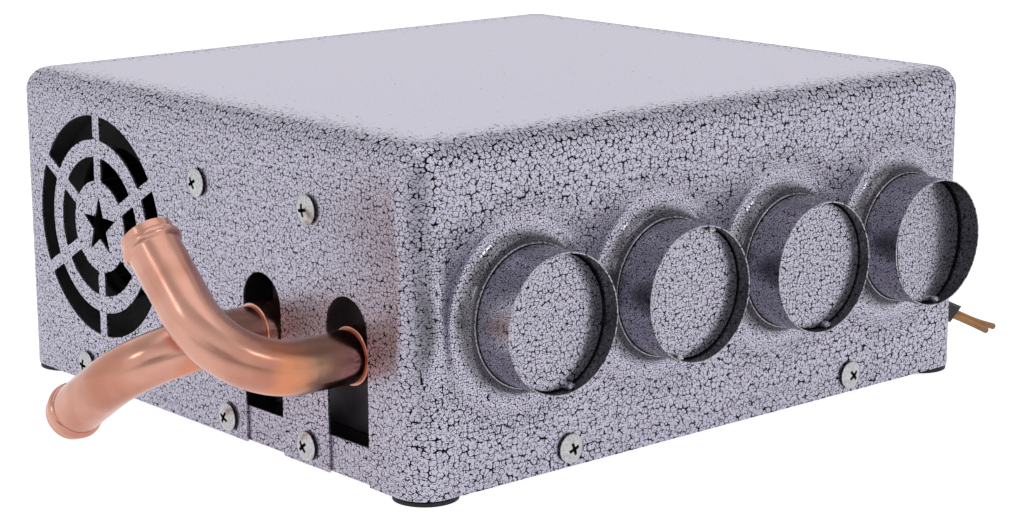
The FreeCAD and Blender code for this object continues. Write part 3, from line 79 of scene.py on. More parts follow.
# Cable: the origin of the part's own modelling frame and the two leads' route points there, in
# millimetres; the leads' diameter and lengths are in metres
MODEL_ORIGIN = Vector((111.45, 118.8, 0.0))
LEAD_DIAMETER = 0.0026
LEAD_ROUTES = {
    "lead_wire_1": (
        Vector((284.5, 20.6, 22.68)),
        Vector((293.0, 18.1, 19.03)),
        Vector((301.5, 15.3, 14.73)),
        Vector((310.5, 14.7, 10.68)),
        Vector((320.4, 14.8, 7.38)),
    ),
    "lead_wire_2": (
        Vector((284.5, 18.2, 20.72)),
        Vector((293.0, 15.7, 17.07)),
        Vector((301.5, 12.9, 12.77)),
        Vector((307.0, 12.45, 10.12)),
        Vector((312.6, 12.3, 7.42)),
    ),
}

# How finely the leads are drawn
LEAD_ROUNDNESS = 6
LEAD_CURVE_ORDER = 3
LEAD_CURVE_STEPS = 16


# Node helpers

NOISE_LOW = 0.3
NOISE_HIGH = 0.7
CELL_RANDOMNESS = 0.9


def new_material(name):
    material = bpy.data.materials.new(name)
    material.use_nodes = True
    tree = material.node_tree
    return material, tree, tree.nodes["Principled BSDF"]


def connect(tree, socket, value):
    # A socket takes either another node's output or a plain value
    if isinstance(value, bpy.types.NodeSocket):
        tree.links.new(value, socket)
    else:
        socket.default_value = value


def add_node(tree, kind, inputs=(), **settings):
    node = tree.nodes.new(kind)
    for name, value in settings.items():
        setattr(node, name, value)
    for name, value in dict(inputs).items():
        connect(tree, node.inputs[name], value)
    return node


def math_node(tree, operation, *values):
    node = add_node(tree, "ShaderNodeMath", operation=operation)
    for socket, value in zip(node.inputs, values):
        connect(tree, socket, value)
    return node.outputs[0]


def vector_math(tree, operation, *values):
    node = add_node(tree, "ShaderNodeVectorMath", operation=operation)
    for socket, value in zip(node.inputs, values):
        connect(tree, socket, value)
    return node.outputs[0]


def vector_value(tree, operation, first, second):
    # A number from two vectors, such as their distance
    node = add_node(tree, "ShaderNodeVectorMath", operation=operation)
    connect(tree, node.inputs[0], first)
    connect(tree, node.inputs[1], second)
    return node.outputs["Value"]


def scaled_vector(tree, vector, factor):
    node = add_node(tree, "ShaderNodeVectorMath", {"Scale": factor}, operation="SCALE")
    connect(tree, node.inputs[0], vector)
    return node.outputs[0]


def axes_of(tree, vector):
    node = add_node(tree, "ShaderNodeSeparateXYZ", {"Vector": vector})
    return node.outputs[0], node.outputs[1], node.outputs[2]


def combined(tree, x, y, z):
    return add_node(tree, "ShaderNodeCombineXYZ", {"X": x, "Y": y, "Z": z}).outputs[0]


def ramp(tree, value, low, high, start=0.0, end=1.0):
    # Smooth step of value from low to high, giving start to end
    inputs = {"Value": value, "From Min": low, "From Max": high, "To Min": start, "To Max": end}
    return add_node(tree, "ShaderNodeMapRange", inputs, interpolation_type="SMOOTHSTEP").outputs[0]


def mix_colour(tree, factor, first, second):
    # Inputs 6 and 7 and output 2 of the node are its colours
    node = add_node(tree, "ShaderNodeMix", data_type="RGBA")
    for index, value in ((0, factor), (6, first), (7, second)):
        connect(tree, node.inputs[index], value)
    return node.outputs[2]


def object_millimetres(tree):
    coordinates = add_node(tree, "ShaderNodeTexCoord")
    return scaled_vector(tree, coordinates.outputs["Object"], 1 / MM)


def noise(tree, place, size_mm, detail=2.0, output="Fac"):
    inputs = {"Vector": place, "Scale": 1.0 / size_mm, "Detail": detail}
    return add_node(tree, "ShaderNodeTexNoise", inputs).outputs[output]


def spread(tree, value, start=0.0, end=1.0):
    # Noise, which lies mostly between these two levels, spread out from start to end
    return ramp(tree, value, NOISE_LOW, NOISE_HIGH, start, end)


def voronoi(tree, place, size_mm, feature):
    inputs = {"Vector": place, "Scale": 1.0 / size_mm, "Randomness": CELL_RANDOMNESS}
    node = add_node(tree, "ShaderNodeTexVoronoi", inputs, voronoi_dimensions="2D", feature=feature)
    return node.outputs["Distance"]


def bump(tree, height, strength, distance, normal=None):
    node = add_node(tree, "ShaderNodeBump", {"Strength": strength, "Distance": distance, "Height": height})
    if normal is not None:
        connect(tree, node.inputs["Normal"], normal)
    return node.outputs[0]


def srgb(red, green, blue):
    # A colour given as 0-255 display values
    def linear(value):
        share = value / 255
        return share / 12.92 if share <= 0.04045 else ((share + 0.055) / 1.055) ** 2.4
    return (linear(red), linear(green), linear(blue), 1.0)


# Crackle paint

PAINT_PALE = srgb(214, 210, 228)
PAINT_DEEP = srgb(196, 192, 210)
# A pale colour for painted highlights on rims and lips, and a grey for painted shade
PAINTED_HIGHLIGHT = srgb(232, 230, 236)
PAINTED_SHADE = srgb(96, 94, 97)
PAINT_METALLIC = 0.9
PAINT_SPECULAR = 0.1
PAINT_ROUGHNESS = 0.34
DRAWN_ROUGHNESS = 0.2
FORMED_ROUGHNESS = 0.25
MOTTLE_SIZE = 0.7
DENT_SIZE = 6.0
DENT_STRENGTH = 0.06
DENT_DEPTH = 0.5 * MM

# Cracks: cells and half widths in millimetres, and the noise level below which a border stays whole. The
# pattern is finer on the side walls, the collars and the discs
CRACK_BLACK = srgb(12, 12, 15)
CRACK_ROUGHNESS = 0.75
CRACK_STRENGTH = 0.15
CRACK_DEPTH = 0.1 * MM
COARSE_CELL = 2.15
COARSE_HALF_WIDTH = 0.25
COARSE_CLOSED = 0.425
FINE_CELL = 0.9
FINE_HALF_WIDTH = 0.165
FINE_CLOSED = 0.5
SIDE_FINENESS = 1.3
COLLAR_SCALE = 0.75
DISC_SCALE = 0.78

# A crack's course: sizes in cells, noise levels before and after a break, and shares of its half width
BEND_SIZE = 0.7
BEND_REACH = 0.55
BREAK_SIZE = 1.1
BREAK_BEFORE = 0.05
BREAK_AFTER = 0.1
MEETING_START = 0.45
MEETING_END = 0.8
NARROW_SHARE = 0.5
WIDE_SHARE = 1.7
CORE_SHARE = 0.7

# Where the case's paint changes: distances in millimetres, shifts of the crack noise, and shares of the
# painted shade and of the rims' painted highlight
FRONT_DEPTH = 6.0
DRAWN_REACH = (33.0, 38.0)
HALO_REACH = (36.0, 46.0)
PAINTED_SHADE_REACH = (25.8, 30.5)
POLISHED_REACH = (31.0, 35.0)
LEVEL_DROPS = (1.0, 0.1)
TOP_INSETS = (4.0, 30.0)
TOP_SHIFTS = (0.03, 0.3)
BACKWARDS_START = 60.0
BACKWARDS_SHIFT = 0.04
ROUNDED_DROPS = (10.0, 5.0)
ROUNDED_SHIFT = 0.1
DRAWN_SHIFT = -0.2
HALO_SHIFT = 0.1
CASE_PAINTED_SHADE_SHARE = 0.85
RIM_DEPTH = 0.2
RIM_HIGHLIGHT_SHARE = 0.35

# The same for the collars and discs
COLLAR_SHIFTS = (-0.08, 0.06)
COLLAR_PAINTED_SHADES = (0.95, 0.3)
COLLAR_WALL = (0.6, 0.2)
DISC_PAINTED_SHADE_SHARE = 0.1
LIP_DEPTHS = (0.03, 0.2)
LIP_HIGHLIGHT_SHARE = 0.4


def sheet_place(tree, place):
    # Paint coordinates on flat sheet: the two axes that lie in the surface, finer on the side walls
    normal = add_node(tree, "ShaderNodeTexCoord").outputs["Normal"]
    facing_x, facing_y, facing_z = (math_node(tree, "ABSOLUTE", axis) for axis in axes_of(tree, normal))
    x, y, z = axes_of(tree, place)
    sideways = math_node(tree, "GREATER_THAN", facing_x, math_node(tree, "MAXIMUM", facing_y, facing_z))
    upwards = math_node(tree, "GREATER_THAN", facing_z, math_node(tree, "MAXIMUM", facing_x, facing_y))
    across = math_node(tree, "MULTIPLY_ADD", sideways, math_node(tree, "SUBTRACT", y, x), x)
    along = math_node(tree, "MULTIPLY_ADD", upwards, math_node(tree, "SUBTRACT", y, z), z)
    finer = ramp(tree, sideways, 0.0, 1.0, 1.0, SIDE_FINENESS)
    return scaled_vector(tree, combined(tree, across, along, 0.0), finer)


def collar_place(tree, place, centre):
    # Paint coordinates unrolled from a collar: the arc round its axis and the depth along it
    x, y, z = axes_of(tree, vector_math(tree, "SUBTRACT", place, centre))
    angle = math_node(tree, "ARCTAN2", z, x)
    return combined(tree, math_node(tree, "MULTIPLY", angle, OUTLET_RADIUS), y, 0.0)


def crack_lines(tree, flat, cell_mm, half_width_mm, closed, weight):
    # 1 on dark lines that follow slightly bent cell borders and are widest where borders meet
    wander = noise(tree, flat, cell_mm * BEND_SIZE, detail=1.0, output="Color")
    centred = vector_math(tree, "SUBTRACT", wander, (0.5, 0.5, 0.5))
    bent = vector_math(tree, "ADD", flat, scaled_vector(tree, centred, cell_mm * BEND_REACH))
    edge = math_node(tree, "MULTIPLY", voronoi(tree, bent, cell_mm, "DISTANCE_TO_EDGE"), cell_mm)
    middle = voronoi(tree, bent, cell_mm, "F1")
    meeting = ramp(tree, middle, MEETING_START, MEETING_END, NARROW_SHARE, WIDE_SHARE)
    breaks = math_node(tree, "ADD", noise(tree, flat, cell_mm * BREAK_SIZE, detail=1.0), weight)
    opened = ramp(tree, breaks, closed - BREAK_BEFORE, closed + BREAK_AFTER, 0.0, half_width_mm)
    half = math_node(tree, "MULTIPLY", opened, meeting)
    return ramp(tree, edge, math_node(tree, "MULTIPLY", half, CORE_SHARE), half, 1.0, 0.0)


def crackle_paint(name, place_of, weights_of=None, painted_shade_of=None, highlight_of=None, rough_of=None, scale=1.0):
    # weights_of moves the shares of coarse and fine cracks, the shade function mixes in painted shade, the
    # edge function paints a highlight without cracks, and rough_of gives the roughness between the cracks
    material, tree, shader = new_material(name)
    place = object_millimetres(tree)
    flat = place_of(tree, place)
    coarse_weight, fine_weight = (0.0, 0.0) if weights_of is None else weights_of(tree, place)
    coarse = crack_lines(
        tree, flat, COARSE_CELL * scale, COARSE_HALF_WIDTH * scale, COARSE_CLOSED, coarse_weight
    )
    fine = crack_lines(tree, flat, FINE_CELL * scale, FINE_HALF_WIDTH * scale, FINE_CLOSED, fine_weight)
    cracks = math_node(tree, "MAXIMUM", coarse, fine)
    mottle = spread(tree, noise(tree, flat, MOTTLE_SIZE))
    colour = mix_colour(tree, mottle, PAINT_PALE, PAINT_DEEP)
    # Painted shade greys the paint here
    if painted_shade_of is not None:
        colour = mix_colour(tree, painted_shade_of(tree, place), colour, PAINTED_SHADE)
    # A painted highlight pales the edges and leaves out their cracks
    if highlight_of is not None:
        painted_highlight = highlight_of(tree, place)
        colour = mix_colour(tree, painted_highlight, colour, PAINTED_HIGHLIGHT)
        cracks = math_node(tree, "MULTIPLY", cracks, math_node(tree, "SUBTRACT", 1.0, painted_highlight))
    connect(tree, shader.inputs["Base Color"], mix_colour(tree, cracks, colour, CRACK_BLACK))
    connect(tree, shader.inputs["Metallic"], ramp(tree, cracks, 0.0, 1.0, PAINT_METALLIC, 0.0))
    shader.inputs["Specular IOR Level"].default_value = PAINT_SPECULAR
    roughness = PAINT_ROUGHNESS if rough_of is None else rough_of(tree, place)
    connect(tree, shader.inputs["Roughness"], ramp(tree, cracks, 0.0, 1.0, roughness, CRACK_ROUGHNESS))
    dents = bump(tree, noise(tree, place, DENT_SIZE, detail=1.0), DENT_STRENGTH, DENT_DEPTH)
    connect(tree, shader.inputs["Normal"], bump(tree, cracks, CRACK_STRENGTH, -CRACK_DEPTH, dents))
    return material


def from_outlet_axis(tree, place):
    # Distance from the nearest outlet's axis, by folding the row of outlets onto the first
    x, _, z = axes_of(tree, place)
    first = OUTLET_CENTRES[0]
    from_first = math_node(tree, "SUBTRACT", x, first.x)
    across = math_node(tree, "WRAP", from_first, OUTLET_PITCH / 2, -OUTLET_PITCH / 2)
    rise = math_node(tree, "SUBTRACT", z, first.z)
    squares = math_node(tree, "MULTIPLY_ADD", across, across, math_node(tree, "MULTIPLY", rise, rise))
    return math_node(tree, "SQRT", squares)


def near_outlets(tree, place, reach):
    # 1 up to the reach's start from an outlet's axis and 0 past its end, on the front wall only
    radius = from_outlet_axis(tree, place)
    y = axes_of(tree, place)[1]
    front = ramp(tree, y, CASE_FRONT, CASE_FRONT + FRONT_DEPTH, 1.0, 0.0)
    return math_node(tree, "MULTIPLY", ramp(tree, radius, *reach, 1.0, 0.0), front)


def case_weights(tree, place):
    # On and round the drawn flanges more fine cracks and fewer coarse ones; more coarse ones on the rounded
    # top edges, fewer towards the back; fewer of both inwards on the flat top, down to nearly none
    x, y, z = axes_of(tree, place)
    drawn = near_outlets(tree, place, DRAWN_REACH)
    halo = near_outlets(tree, place, HALO_REACH)
    inset = math_node(tree, "SUBTRACT", x, CASE_LOW.x)
    for gap in (
        math_node(tree, "SUBTRACT", y, CASE_FRONT),
        math_node(tree, "SUBTRACT", CASE_HIGH.x, x),
        math_node(tree, "SUBTRACT", CASE_HIGH.y, y),
    ):
        inset = math_node(tree, "MINIMUM", inset, gap)
    level = ramp(tree, z, *(CASE_HIGH.z - drop for drop in LEVEL_DROPS))
    flat_top = math_node(tree, "MULTIPLY", ramp(tree, inset, *TOP_INSETS, *TOP_SHIFTS), level)
    backwards = ramp(tree, y, CASE_FRONT + BACKWARDS_START, CASE_HIGH.y, 0.0, BACKWARDS_SHIFT)
    fewer = math_node(tree, "ADD", flat_top, backwards)
    rounded = ramp(tree, z, *(CASE_HIGH.z - drop for drop in ROUNDED_DROPS), 0.0, ROUNDED_SHIFT)
    bent = math_node(tree, "MULTIPLY", rounded, math_node(tree, "SUBTRACT", 1.0, level))
    more = math_node(tree, "SUBTRACT", bent, fewer)
    coarse = math_node(tree, "MULTIPLY_ADD", drawn, DRAWN_SHIFT, more)
    fine = math_node(tree, "MULTIPLY_ADD", halo, HALO_SHIFT, math_node(tree, "SUBTRACT", 0.0, flat_top))
    return coarse, fine


def case_painted_shade(tree, place):
    # Painted shade on the flanges, close to the collars
    return math_node(tree, "MULTIPLY", near_outlets(tree, place, PAINTED_SHADE_REACH), CASE_PAINTED_SHADE_SHARE)


def case_roughness(tree, place):
    # Drawing polished the sheet round the outlets
    polished = near_outlets(tree, place, POLISHED_REACH)
    return ramp(tree, polished, 0.0, 1.0, PAINT_ROUGHNESS, DRAWN_ROUGHNESS)


def formed_roughness(tree, place):
    return FORMED_ROUGHNESS


def case_rim_highlight(tree, place):
    # A painted highlight along the flanges' rounded rims
    y = axes_of(tree, place)[1]
    rim = CASE_FRONT - FLANGE_FILLET
    return ramp(tree, y, rim - RIM_DEPTH, rim, RIM_HIGHLIGHT_SHARE, 0.0)


def collar_weights(tree, place):
    return COLLAR_SHIFTS


def collar_painted_shade(tree, place):
    # Painted shade inside the tube; outside it a smaller share, partly the collars' darker paint and partly
    # painted shade
    wall = (OUTLET_RADIUS - depth for depth in COLLAR_WALL)
    return ramp(tree, from_outlet_axis(tree, place), *wall, *COLLAR_PAINTED_SHADES)


def disc_painted_shade(tree, place):
    # Painted shade over the whole disc, which sits back in its tube
    return DISC_PAINTED_SHADE_SHARE


def collar_lip_highlight(tree, place):
    # A painted highlight along a collar's rounded lip
    y = axes_of(tree, place)[1]
    lip = CASE_FRONT - OUTLET_LENGTH
    return ramp(tree, y, *(lip + depth for depth in LIP_DEPTHS), LIP_HIGHLIGHT_SHARE, 0.0)


# Other finishes

PATCH_LEVELS = (0.35, 0.7)
GRAIN_DEPTH = 0.2 * MM

# Copper: two shades of drawn tube, its haze and its dents
COPPER_BRIGHT = srgb(214, 160, 142)
COPPER_DULL = srgb(186, 127, 107)
COPPER_STREAK_SIZE = 30.0
COPPER_HAZE_SIZE = 12.0
COPPER_ROUGHNESS = (0.19, 0.29)
COPPER_DENT_SIZE = 9.0
COPPER_DENT_STRENGTH = 0.08
COPPER_DENT_DEPTH = 0.6 * MM
COPPER_COAT = 0.25
COPPER_COAT_ROUGHNESS = 0.3

# Tints that brazing left on the pipes: an orange band, then an olive one, then a dull pink end at the wall.
# Each has its distances from the wall in millimetres, where it starts and where it is full
BRAZING_TINTS = (
    (46.0, 38.0, srgb(214, 140, 104)),
    (36.0, 26.0, srgb(174, 130, 106)),
    (20.0, 12.0, srgb(200, 138, 126)),
)
TINT_WAVE_SIZE = 9.0
TINT_WAVE_REACH = 14.0

# Plain metals, and moulded or painted pieces: how grain and wear change colour, roughness and relief
METAL_GRAIN = 1.5
METAL_DARK_SHARE = 0.8
METAL_ROUGHNESS_RISE = 0.12
METAL_STRENGTH = 0.05
MOULDED_GRAIN = 0.8
MOULDED_ROUGHNESS_RISE = 0.15
MOULDED_STRENGTH = 0.15
WEAR_SIZE = 14.0
WEAR_GAIN = 1.5
WEAR_LIFT = 0.004

# Zinc on the case screws and on the dampers' rivets
ZINC_PALE = srgb(206, 206, 208)
ZINC_DEEP = srgb(178, 178, 182)
ZINC_RECESS_SHADE = srgb(58, 58, 62)
ZINC_UNDERCUT_SHADE = srgb(40, 40, 44)
ZINC_GRAIN = 0.8
ZINC_ROUGHNESS = 0.26
ZINC_ANISOTROPY = 0.75
RECESS_DEPTHS = (0.15, 0.9)
RECESS_ROUGHNESS = 0.6
UNDERCUT_DEPTH = 0.1
RIVET_ZINC = srgb(214, 214, 218)
RIVET_ROUGHNESS = 0.25

# How the case screws' mesh is welded and where its shading breaks
WELD_DISTANCE = 0.001 * MM
CREASE_ANGLE = math.radians(35)


def copper(name, heated):
    material, tree, shader = new_material(name)
    place = object_millimetres(tree)
    streaks = ramp(tree, noise(tree, place, COPPER_STREAK_SIZE, detail=3.0), *PATCH_LEVELS)
    colour = mix_colour(tree, streaks, COPPER_BRIGHT, COPPER_DULL)
    if heated:
        outward = math_node(tree, "SUBTRACT", CASE_LOW.x, axes_of(tree, place)[0])
        waves = noise(tree, place, TINT_WAVE_SIZE)
        wavy = math_node(tree, "MULTIPLY_ADD", waves, TINT_WAVE_REACH, outward)
        for first, full, tint in BRAZING_TINTS:
            colour = mix_colour(tree, ramp(tree, wavy, first, full), colour, tint)
    connect(tree, shader.inputs["Base Color"], colour)
    shader.inputs["Metallic"].default_value = 1.0
    haze = noise(tree, place, COPPER_HAZE_SIZE)
    connect(tree, shader.inputs["Roughness"], spread(tree, haze, *COPPER_ROUGHNESS))
    dents = bump(tree, noise(tree, place, COPPER_DENT_SIZE), COPPER_DENT_STRENGTH, COPPER_DENT_DEPTH)
    connect(tree, shader.inputs["Normal"], dents)
    shader.inputs["Coat Weight"].default_value = COPPER_COAT
    shader.inputs["Coat Roughness"].default_value = COPPER_COAT_ROUGHNESS
    return material


def metal(name, colour, roughness, grain_mm=METAL_GRAIN):
    material, tree, shader = new_material(name)
    grain = noise(tree, object_millimetres(tree), grain_mm, detail=3.0)
    dark = tuple(METAL_DARK_SHARE * share for share in colour[:3]) + (1.0,)
    rough = spread(tree, grain, roughness, roughness + METAL_ROUGHNESS_RISE)
    connect(tree, shader.inputs["Base Color"], mix_colour(tree, spread(tree, grain), colour, dark))
    shader.inputs["Metallic"].default_value = 1.0
    connect(tree, shader.inputs["Roughness"], rough)
    connect(tree, shader.inputs["Normal"], bump(tree, grain, METAL_STRENGTH, GRAIN_DEPTH))
    return material


def moulded(name, colour, roughness, grain_mm=MOULDED_GRAIN):
    # Paint, rubber, plastic and foam: fine grain over one colour with lighter, worn patches
    material, tree, shader = new_material(name)
    place = object_millimetres(tree)
    grain = noise(tree, place, grain_mm, detail=3.0)
    wear = ramp(tree, noise(tree, place, WEAR_SIZE), *PATCH_LEVELS)
    lighter = tuple(min(1.0, share * WEAR_GAIN + WEAR_LIFT) for share in colour[:3]) + (1.0,)
    rough = spread(tree, grain, roughness, roughness + MOULDED_ROUGHNESS_RISE)
    connect(tree, shader.inputs["Base Color"], mix_colour(tree, wear, colour, lighter))
    connect(tree, shader.inputs["Roughness"], rough)
    connect(tree, shader.inputs["Normal"], bump(tree, grain, MOULDED_STRENGTH, GRAIN_DEPTH))
    return material


def screw_zinc(name):
    # Turned zinc plate: highlights fan out from the middle, and the cross recess is painted dark as shade
    material, tree, shader = new_material(name)
    place = object_millimetres(tree)
    x, y, z = axes_of(tree, place)
    radius_squared = math_node(tree, "MULTIPLY_ADD", x, x, math_node(tree, "MULTIPLY", y, y))
    drop = math_node(tree, "MULTIPLY", radius_squared, 0.5 / SCREW_DOME_RADIUS)
    dome = math_node(tree, "SUBTRACT", SCREW_TOP, drop)
    below = math_node(tree, "SUBTRACT", dome, z)
    inside = math_node(tree, "LESS_THAN", radius_squared, SCREW_CROSS_REACH ** 2)
    recess = math_node(tree, "MULTIPLY", ramp(tree, below, *RECESS_DEPTHS), inside)
    grain = noise(tree, place, ZINC_GRAIN)
    colour = mix_colour(tree, spread(tree, grain), ZINC_PALE, ZINC_DEEP)
    # Painted shade in the cross recess
    colour = mix_colour(tree, recess, colour, ZINC_RECESS_SHADE)
    # Painted shade on the undercut edge under the dome
    shaded_under = math_node(tree, "LESS_THAN", z, SCREW_TOP - SCREW_RISE - UNDERCUT_DEPTH)
    connect(tree, shader.inputs["Base Color"], mix_colour(tree, shaded_under, colour, ZINC_UNDERCUT_SHADE))
    shader.inputs["Metallic"].default_value = 1.0
    connect(tree, shader.inputs["Roughness"], ramp(tree, recess, 0.0, 1.0, ZINC_ROUGHNESS, RECESS_ROUGHNESS))
    shader.inputs["Anisotropic"].default_value = ZINC_ANISOTROPY
    tangent = add_node(tree, "ShaderNodeTangent", direction_type="RADIAL", axis="Z")
    connect(tree, shader.inputs["Tangent"], tangent.outputs[0])
    return material


def first_corner(faces):
    return min(vertex.index for face in faces for vertex in face.verts)


def separate_solids(source):
    # The faces of each solid in a mesh, in the order of their first corners
    left = set(source.faces)
    solids = []
    for seed in source.faces:
        if seed not in left:
            continue
        left.remove(seed)
        faces = [seed]
        # The list grows while it is walked, until no neighbour is left
        for face in faces:
            for neighbour in (other for edge in face.edges for other in edge.link_faces):
                if neighbour in left:
                    left.remove(neighbour)
                    faces.append(neighbour)
        solids.append(faces)
    return sorted(solids, key=first_corner)


def add_case_screw(name, faces, middle, material):
    corners = sorted({vertex for face in faces for vertex in face.verts}, key=lambda vertex: vertex.index)
    low = Vector(min(vertex.co[axis] for vertex in corners) for axis in range(3))
    high = Vector(max(vertex.co[axis] for vertex in corners) for axis in range(3))
    size = high - low
    centre = (low + high) / 2
    # A screw is shortest along its axis, and its head is on the side away from the case's middle
    axis = min(range(3), key=lambda index: size[index])
    outward = Vector((0, 0, 0))
    outward[axis] = math.copysign(1, centre[axis] - middle[axis])
    pose = Matrix.Translation(centre) @ outward.to_track_quat("Z", "Y").to_matrix().to_4x4()
    back = pose.inverted()
    places = [back @ vertex.co for vertex in corners]
    index_of = {vertex: index for index, vertex in enumerate(corners)}
    mesh = bpy.data.meshes.new(name)
    mesh.from_pydata(places, [], [[index_of[vertex] for vertex in face.verts] for face in faces])
    mesh.materials.append(material)
    piece = bpy.data.objects.new(name, mesh)
    piece.matrix_world = pose
    bpy.context.scene.collection.objects.link(piece)
    mesh.shade_smooth()
    mesh.set_sharp_from_angle(angle=CREASE_ANGLE)
    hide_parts("case_screws")
    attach(piece, "case")


def add_case_screws(material):
    # Each screw of the CAD node as a piece of its own, so that its axis is its own z
    source = bmesh.new()
    source.from_mesh(NODES["case_screws"].data)
    bmesh.ops.remove_doubles(source, verts=source.verts, dist=WELD_DISTANCE)
    source.verts.index_update()
    middle = (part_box("case_shell")[0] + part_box("case_shell")[1]) / 2
    for number, faces in enumerate(separate_solids(source), 1):
        add_case_screw(f"case_screw_{number}", faces, middle, material)
    source.free()


def paint(nodes, material):
    for name in nodes:
        slots = NODES[name].data.materials
        slots.clear()
        slots.append(material)


# Stage

WHITE = (1.0, 1.0, 1.0, 1.0)

# Floor: what the camera and reflections see of it. In reflections the patch in front of the case's near
# corner is dark, with its middle and its reach given here
FLOOR_REACH = 4.0
FLOOR_COLOUR = (0.9, 0.9, 0.9, 1.0)
FLOOR_ROUGHNESS = 0.9
FLOOR_SEEN = 0.85
FLOOR_REFLECTED = 0.67
FLOOR_DARK_PLACE = (-0.56, -0.51, 0.0)
FLOOR_DARK_REACH = (0.3, 0.55)

# Studio: its brightness as light and in reflections, greyer overhead and dark towards one low side
STUDIO_LIGHT = 0.35
STUDIO_REFLECTED = 0.96
STUDIO_HEIGHTS = (0.35, 0.85)
STUDIO_OVERHEAD = 0.6
STUDIO_DARK_SIDE = (-0.74, -0.65, -0.15)
STUDIO_DARK_EDGE = (0.91, 0.98)
STUDIO_DARK_SHARE = 0.2

# Lamps: name, place, aim, size and watts
LAMPS = (
    ("key_strip", (0.12, -1.65, 1.27), (0.03, -0.13, 0.06), (0.4, 0.12), 1.3),
    ("left_softbox", (-1.7, 0.0, 1.05), (-0.15, 0.0, 0.06), (0.3, 0.3), 1.0),
    ("top_softbox", (-0.05, -0.05, 1.7), (0.0, 0.0, 0.0), (1.6, 1.6), 5.0),
)


def add_camera():
    back = Vector((
        math.sin(CAMERA_YAW) * math.cos(CAMERA_RISE),
        -math.cos(CAMERA_YAW) * math.cos(CAMERA_RISE),
        math.sin(CAMERA_RISE),
    ))
    level = Vector((math.cos(CAMERA_YAW), math.sin(CAMERA_YAW), 0))
    up = back.cross(level)
    right = level * math.cos(CAMERA_ROLL) + up * math.sin(CAMERA_ROLL)
    up = back.cross(right)
    data = bpy.data.cameras.new("photo_camera")
    data.sensor_fit = "HORIZONTAL"
    data.sensor_width = CAMERA_SENSOR_MM
    data.lens = CAMERA_LENS_MM
    camera = bpy.data.objects.new("photo_camera", data)
    camera.matrix_world = Matrix.Translation(CAMERA_PLACE) @ Matrix((right, up, back)).transposed().to_4x4()
    bpy.context.scene.collection.objects.link(camera)
    bpy.context.scene.camera = camera


def add_light(name, place, aim, size, watts):
    data = bpy.data.lights.new(name, "AREA")
    data.shape = "RECTANGLE"
    data.size, data.size_y = size
    data.energy = watts
    light = bpy.data.objects.new(name, data)
    direction = Vector(aim) - Vector(place)
    light.matrix_world = Matrix.Translation(place) @ direction.to_track_quat("-Z", "Y").to_matrix().to_4x4()
    bpy.context.scene.collection.objects.link(light)


def mirrored_rays(tree, path):
    # 1 for rays that metal or glass sent on
    return math_node(tree, "MAXIMUM", path.outputs["Is Glossy Ray"], path.outputs["Is Transmission Ray"])


def add_floor():
    mesh = bpy.data.meshes.new("studio_floor")
    corners = [
        (-FLOOR_REACH, -FLOOR_REACH, 0),
        (FLOOR_REACH, -FLOOR_REACH, 0),
        (FLOOR_REACH, FLOOR_REACH, 0),
        (-FLOOR_REACH, FLOOR_REACH, 0),
    ]
    mesh.from_pydata(corners, [], [(0, 1, 2, 3)])
    floor = bpy.data.objects.new("studio_floor", mesh)
    bpy.context.scene.collection.objects.link(floor)
    material, tree, shader = new_material("white_floor")
    shader.inputs["Base Color"].default_value = FLOOR_COLOUR
    shader.inputs["Roughness"].default_value = FLOOR_ROUGHNESS
    shader.inputs["Emission Color"].default_value = WHITE
    path = add_node(tree, "ShaderNodeLightPath")
    place = add_node(tree, "ShaderNodeTexCoord").outputs["Object"]
    distance = vector_value(tree, "DISTANCE", place, FLOOR_DARK_PLACE)
    reflected = ramp(tree, distance, *FLOOR_DARK_REACH, 0.0, FLOOR_REFLECTED)
    mirrored = math_node(tree, "MULTIPLY", mirrored_rays(tree, path), reflected)
    glow = math_node(tree, "MULTIPLY_ADD", path.outputs["Is Camera Ray"], FLOOR_SEEN, mirrored)
    connect(tree, shader.inputs["Emission Strength"], glow)
    mesh.materials.append(material)


def add_world():
    # White to the camera; in reflections white round the horizon
    world = bpy.data.worlds.new("studio")
    world.use_nodes = True
    bpy.context.scene.world = world
    tree = world.node_tree
    path = add_node(tree, "ShaderNodeLightPath")
    direction = add_node(tree, "ShaderNodeTexCoord").outputs["Generated"]
    height = axes_of(tree, direction)[2]
    towards_dark = vector_value(tree, "DOT_PRODUCT", direction, STUDIO_DARK_SIDE)
    sides = ramp(tree, towards_dark, *STUDIO_DARK_EDGE, 1.0, STUDIO_DARK_SHARE)
    overhead = ramp(tree, height, *STUDIO_HEIGHTS, 1.0, STUDIO_OVERHEAD)
    sky = math_node(tree, "MULTIPLY", sides, overhead)
    level = ramp(tree, mirrored_rays(tree, path), 0.0, 1.0, STUDIO_LIGHT, STUDIO_REFLECTED)
    unseen = math_node(tree, "MULTIPLY", sky, level)
    strength = math_node(tree, "MAXIMUM", path.outputs["Is Camera Ray"], unseen)
    background = tree.nodes["Background"]
    background.inputs["Color"].default_value = WHITE
    connect(tree, background.inputs["Strength"], strength)


# Cable leads

def add_leads(material):
    for name, route in LEAD_ROUTES.items():
        curve = bpy.data.curves.new(f"{name}_cord", "CURVE")
        curve.dimensions = "3D"
        curve.bevel_depth = LEAD_DIAMETER / 2
        curve.bevel_resolution = LEAD_ROUNDNESS
        curve.use_fill_caps = True
        spline = curve.splines.new("NURBS")
        spline.points.add(len(route) - 1)
        for point, place in zip(spline.points, route):
            point.co = (*((place - MODEL_ORIGIN) * MM), 1.0)
        spline.order_u = LEAD_CURVE_ORDER
        spline.use_endpoint_u = True
        spline.resolution_u = LEAD_CURVE_STEPS
        curve.materials.append(material)
        cord = bpy.data.objects.new(f"{name}_cord", curve)
        bpy.context.scene.collection.objects.link(cord)
        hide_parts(name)
        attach(cord, "case")


# Finishes on the CAD pieces

COPPER_PIPES = ("coolant_pipe_upper", "coolant_pipe_lower")
COPPER_FITTINGS = ("core_sockets", "core_tubes", "motor_commutator")

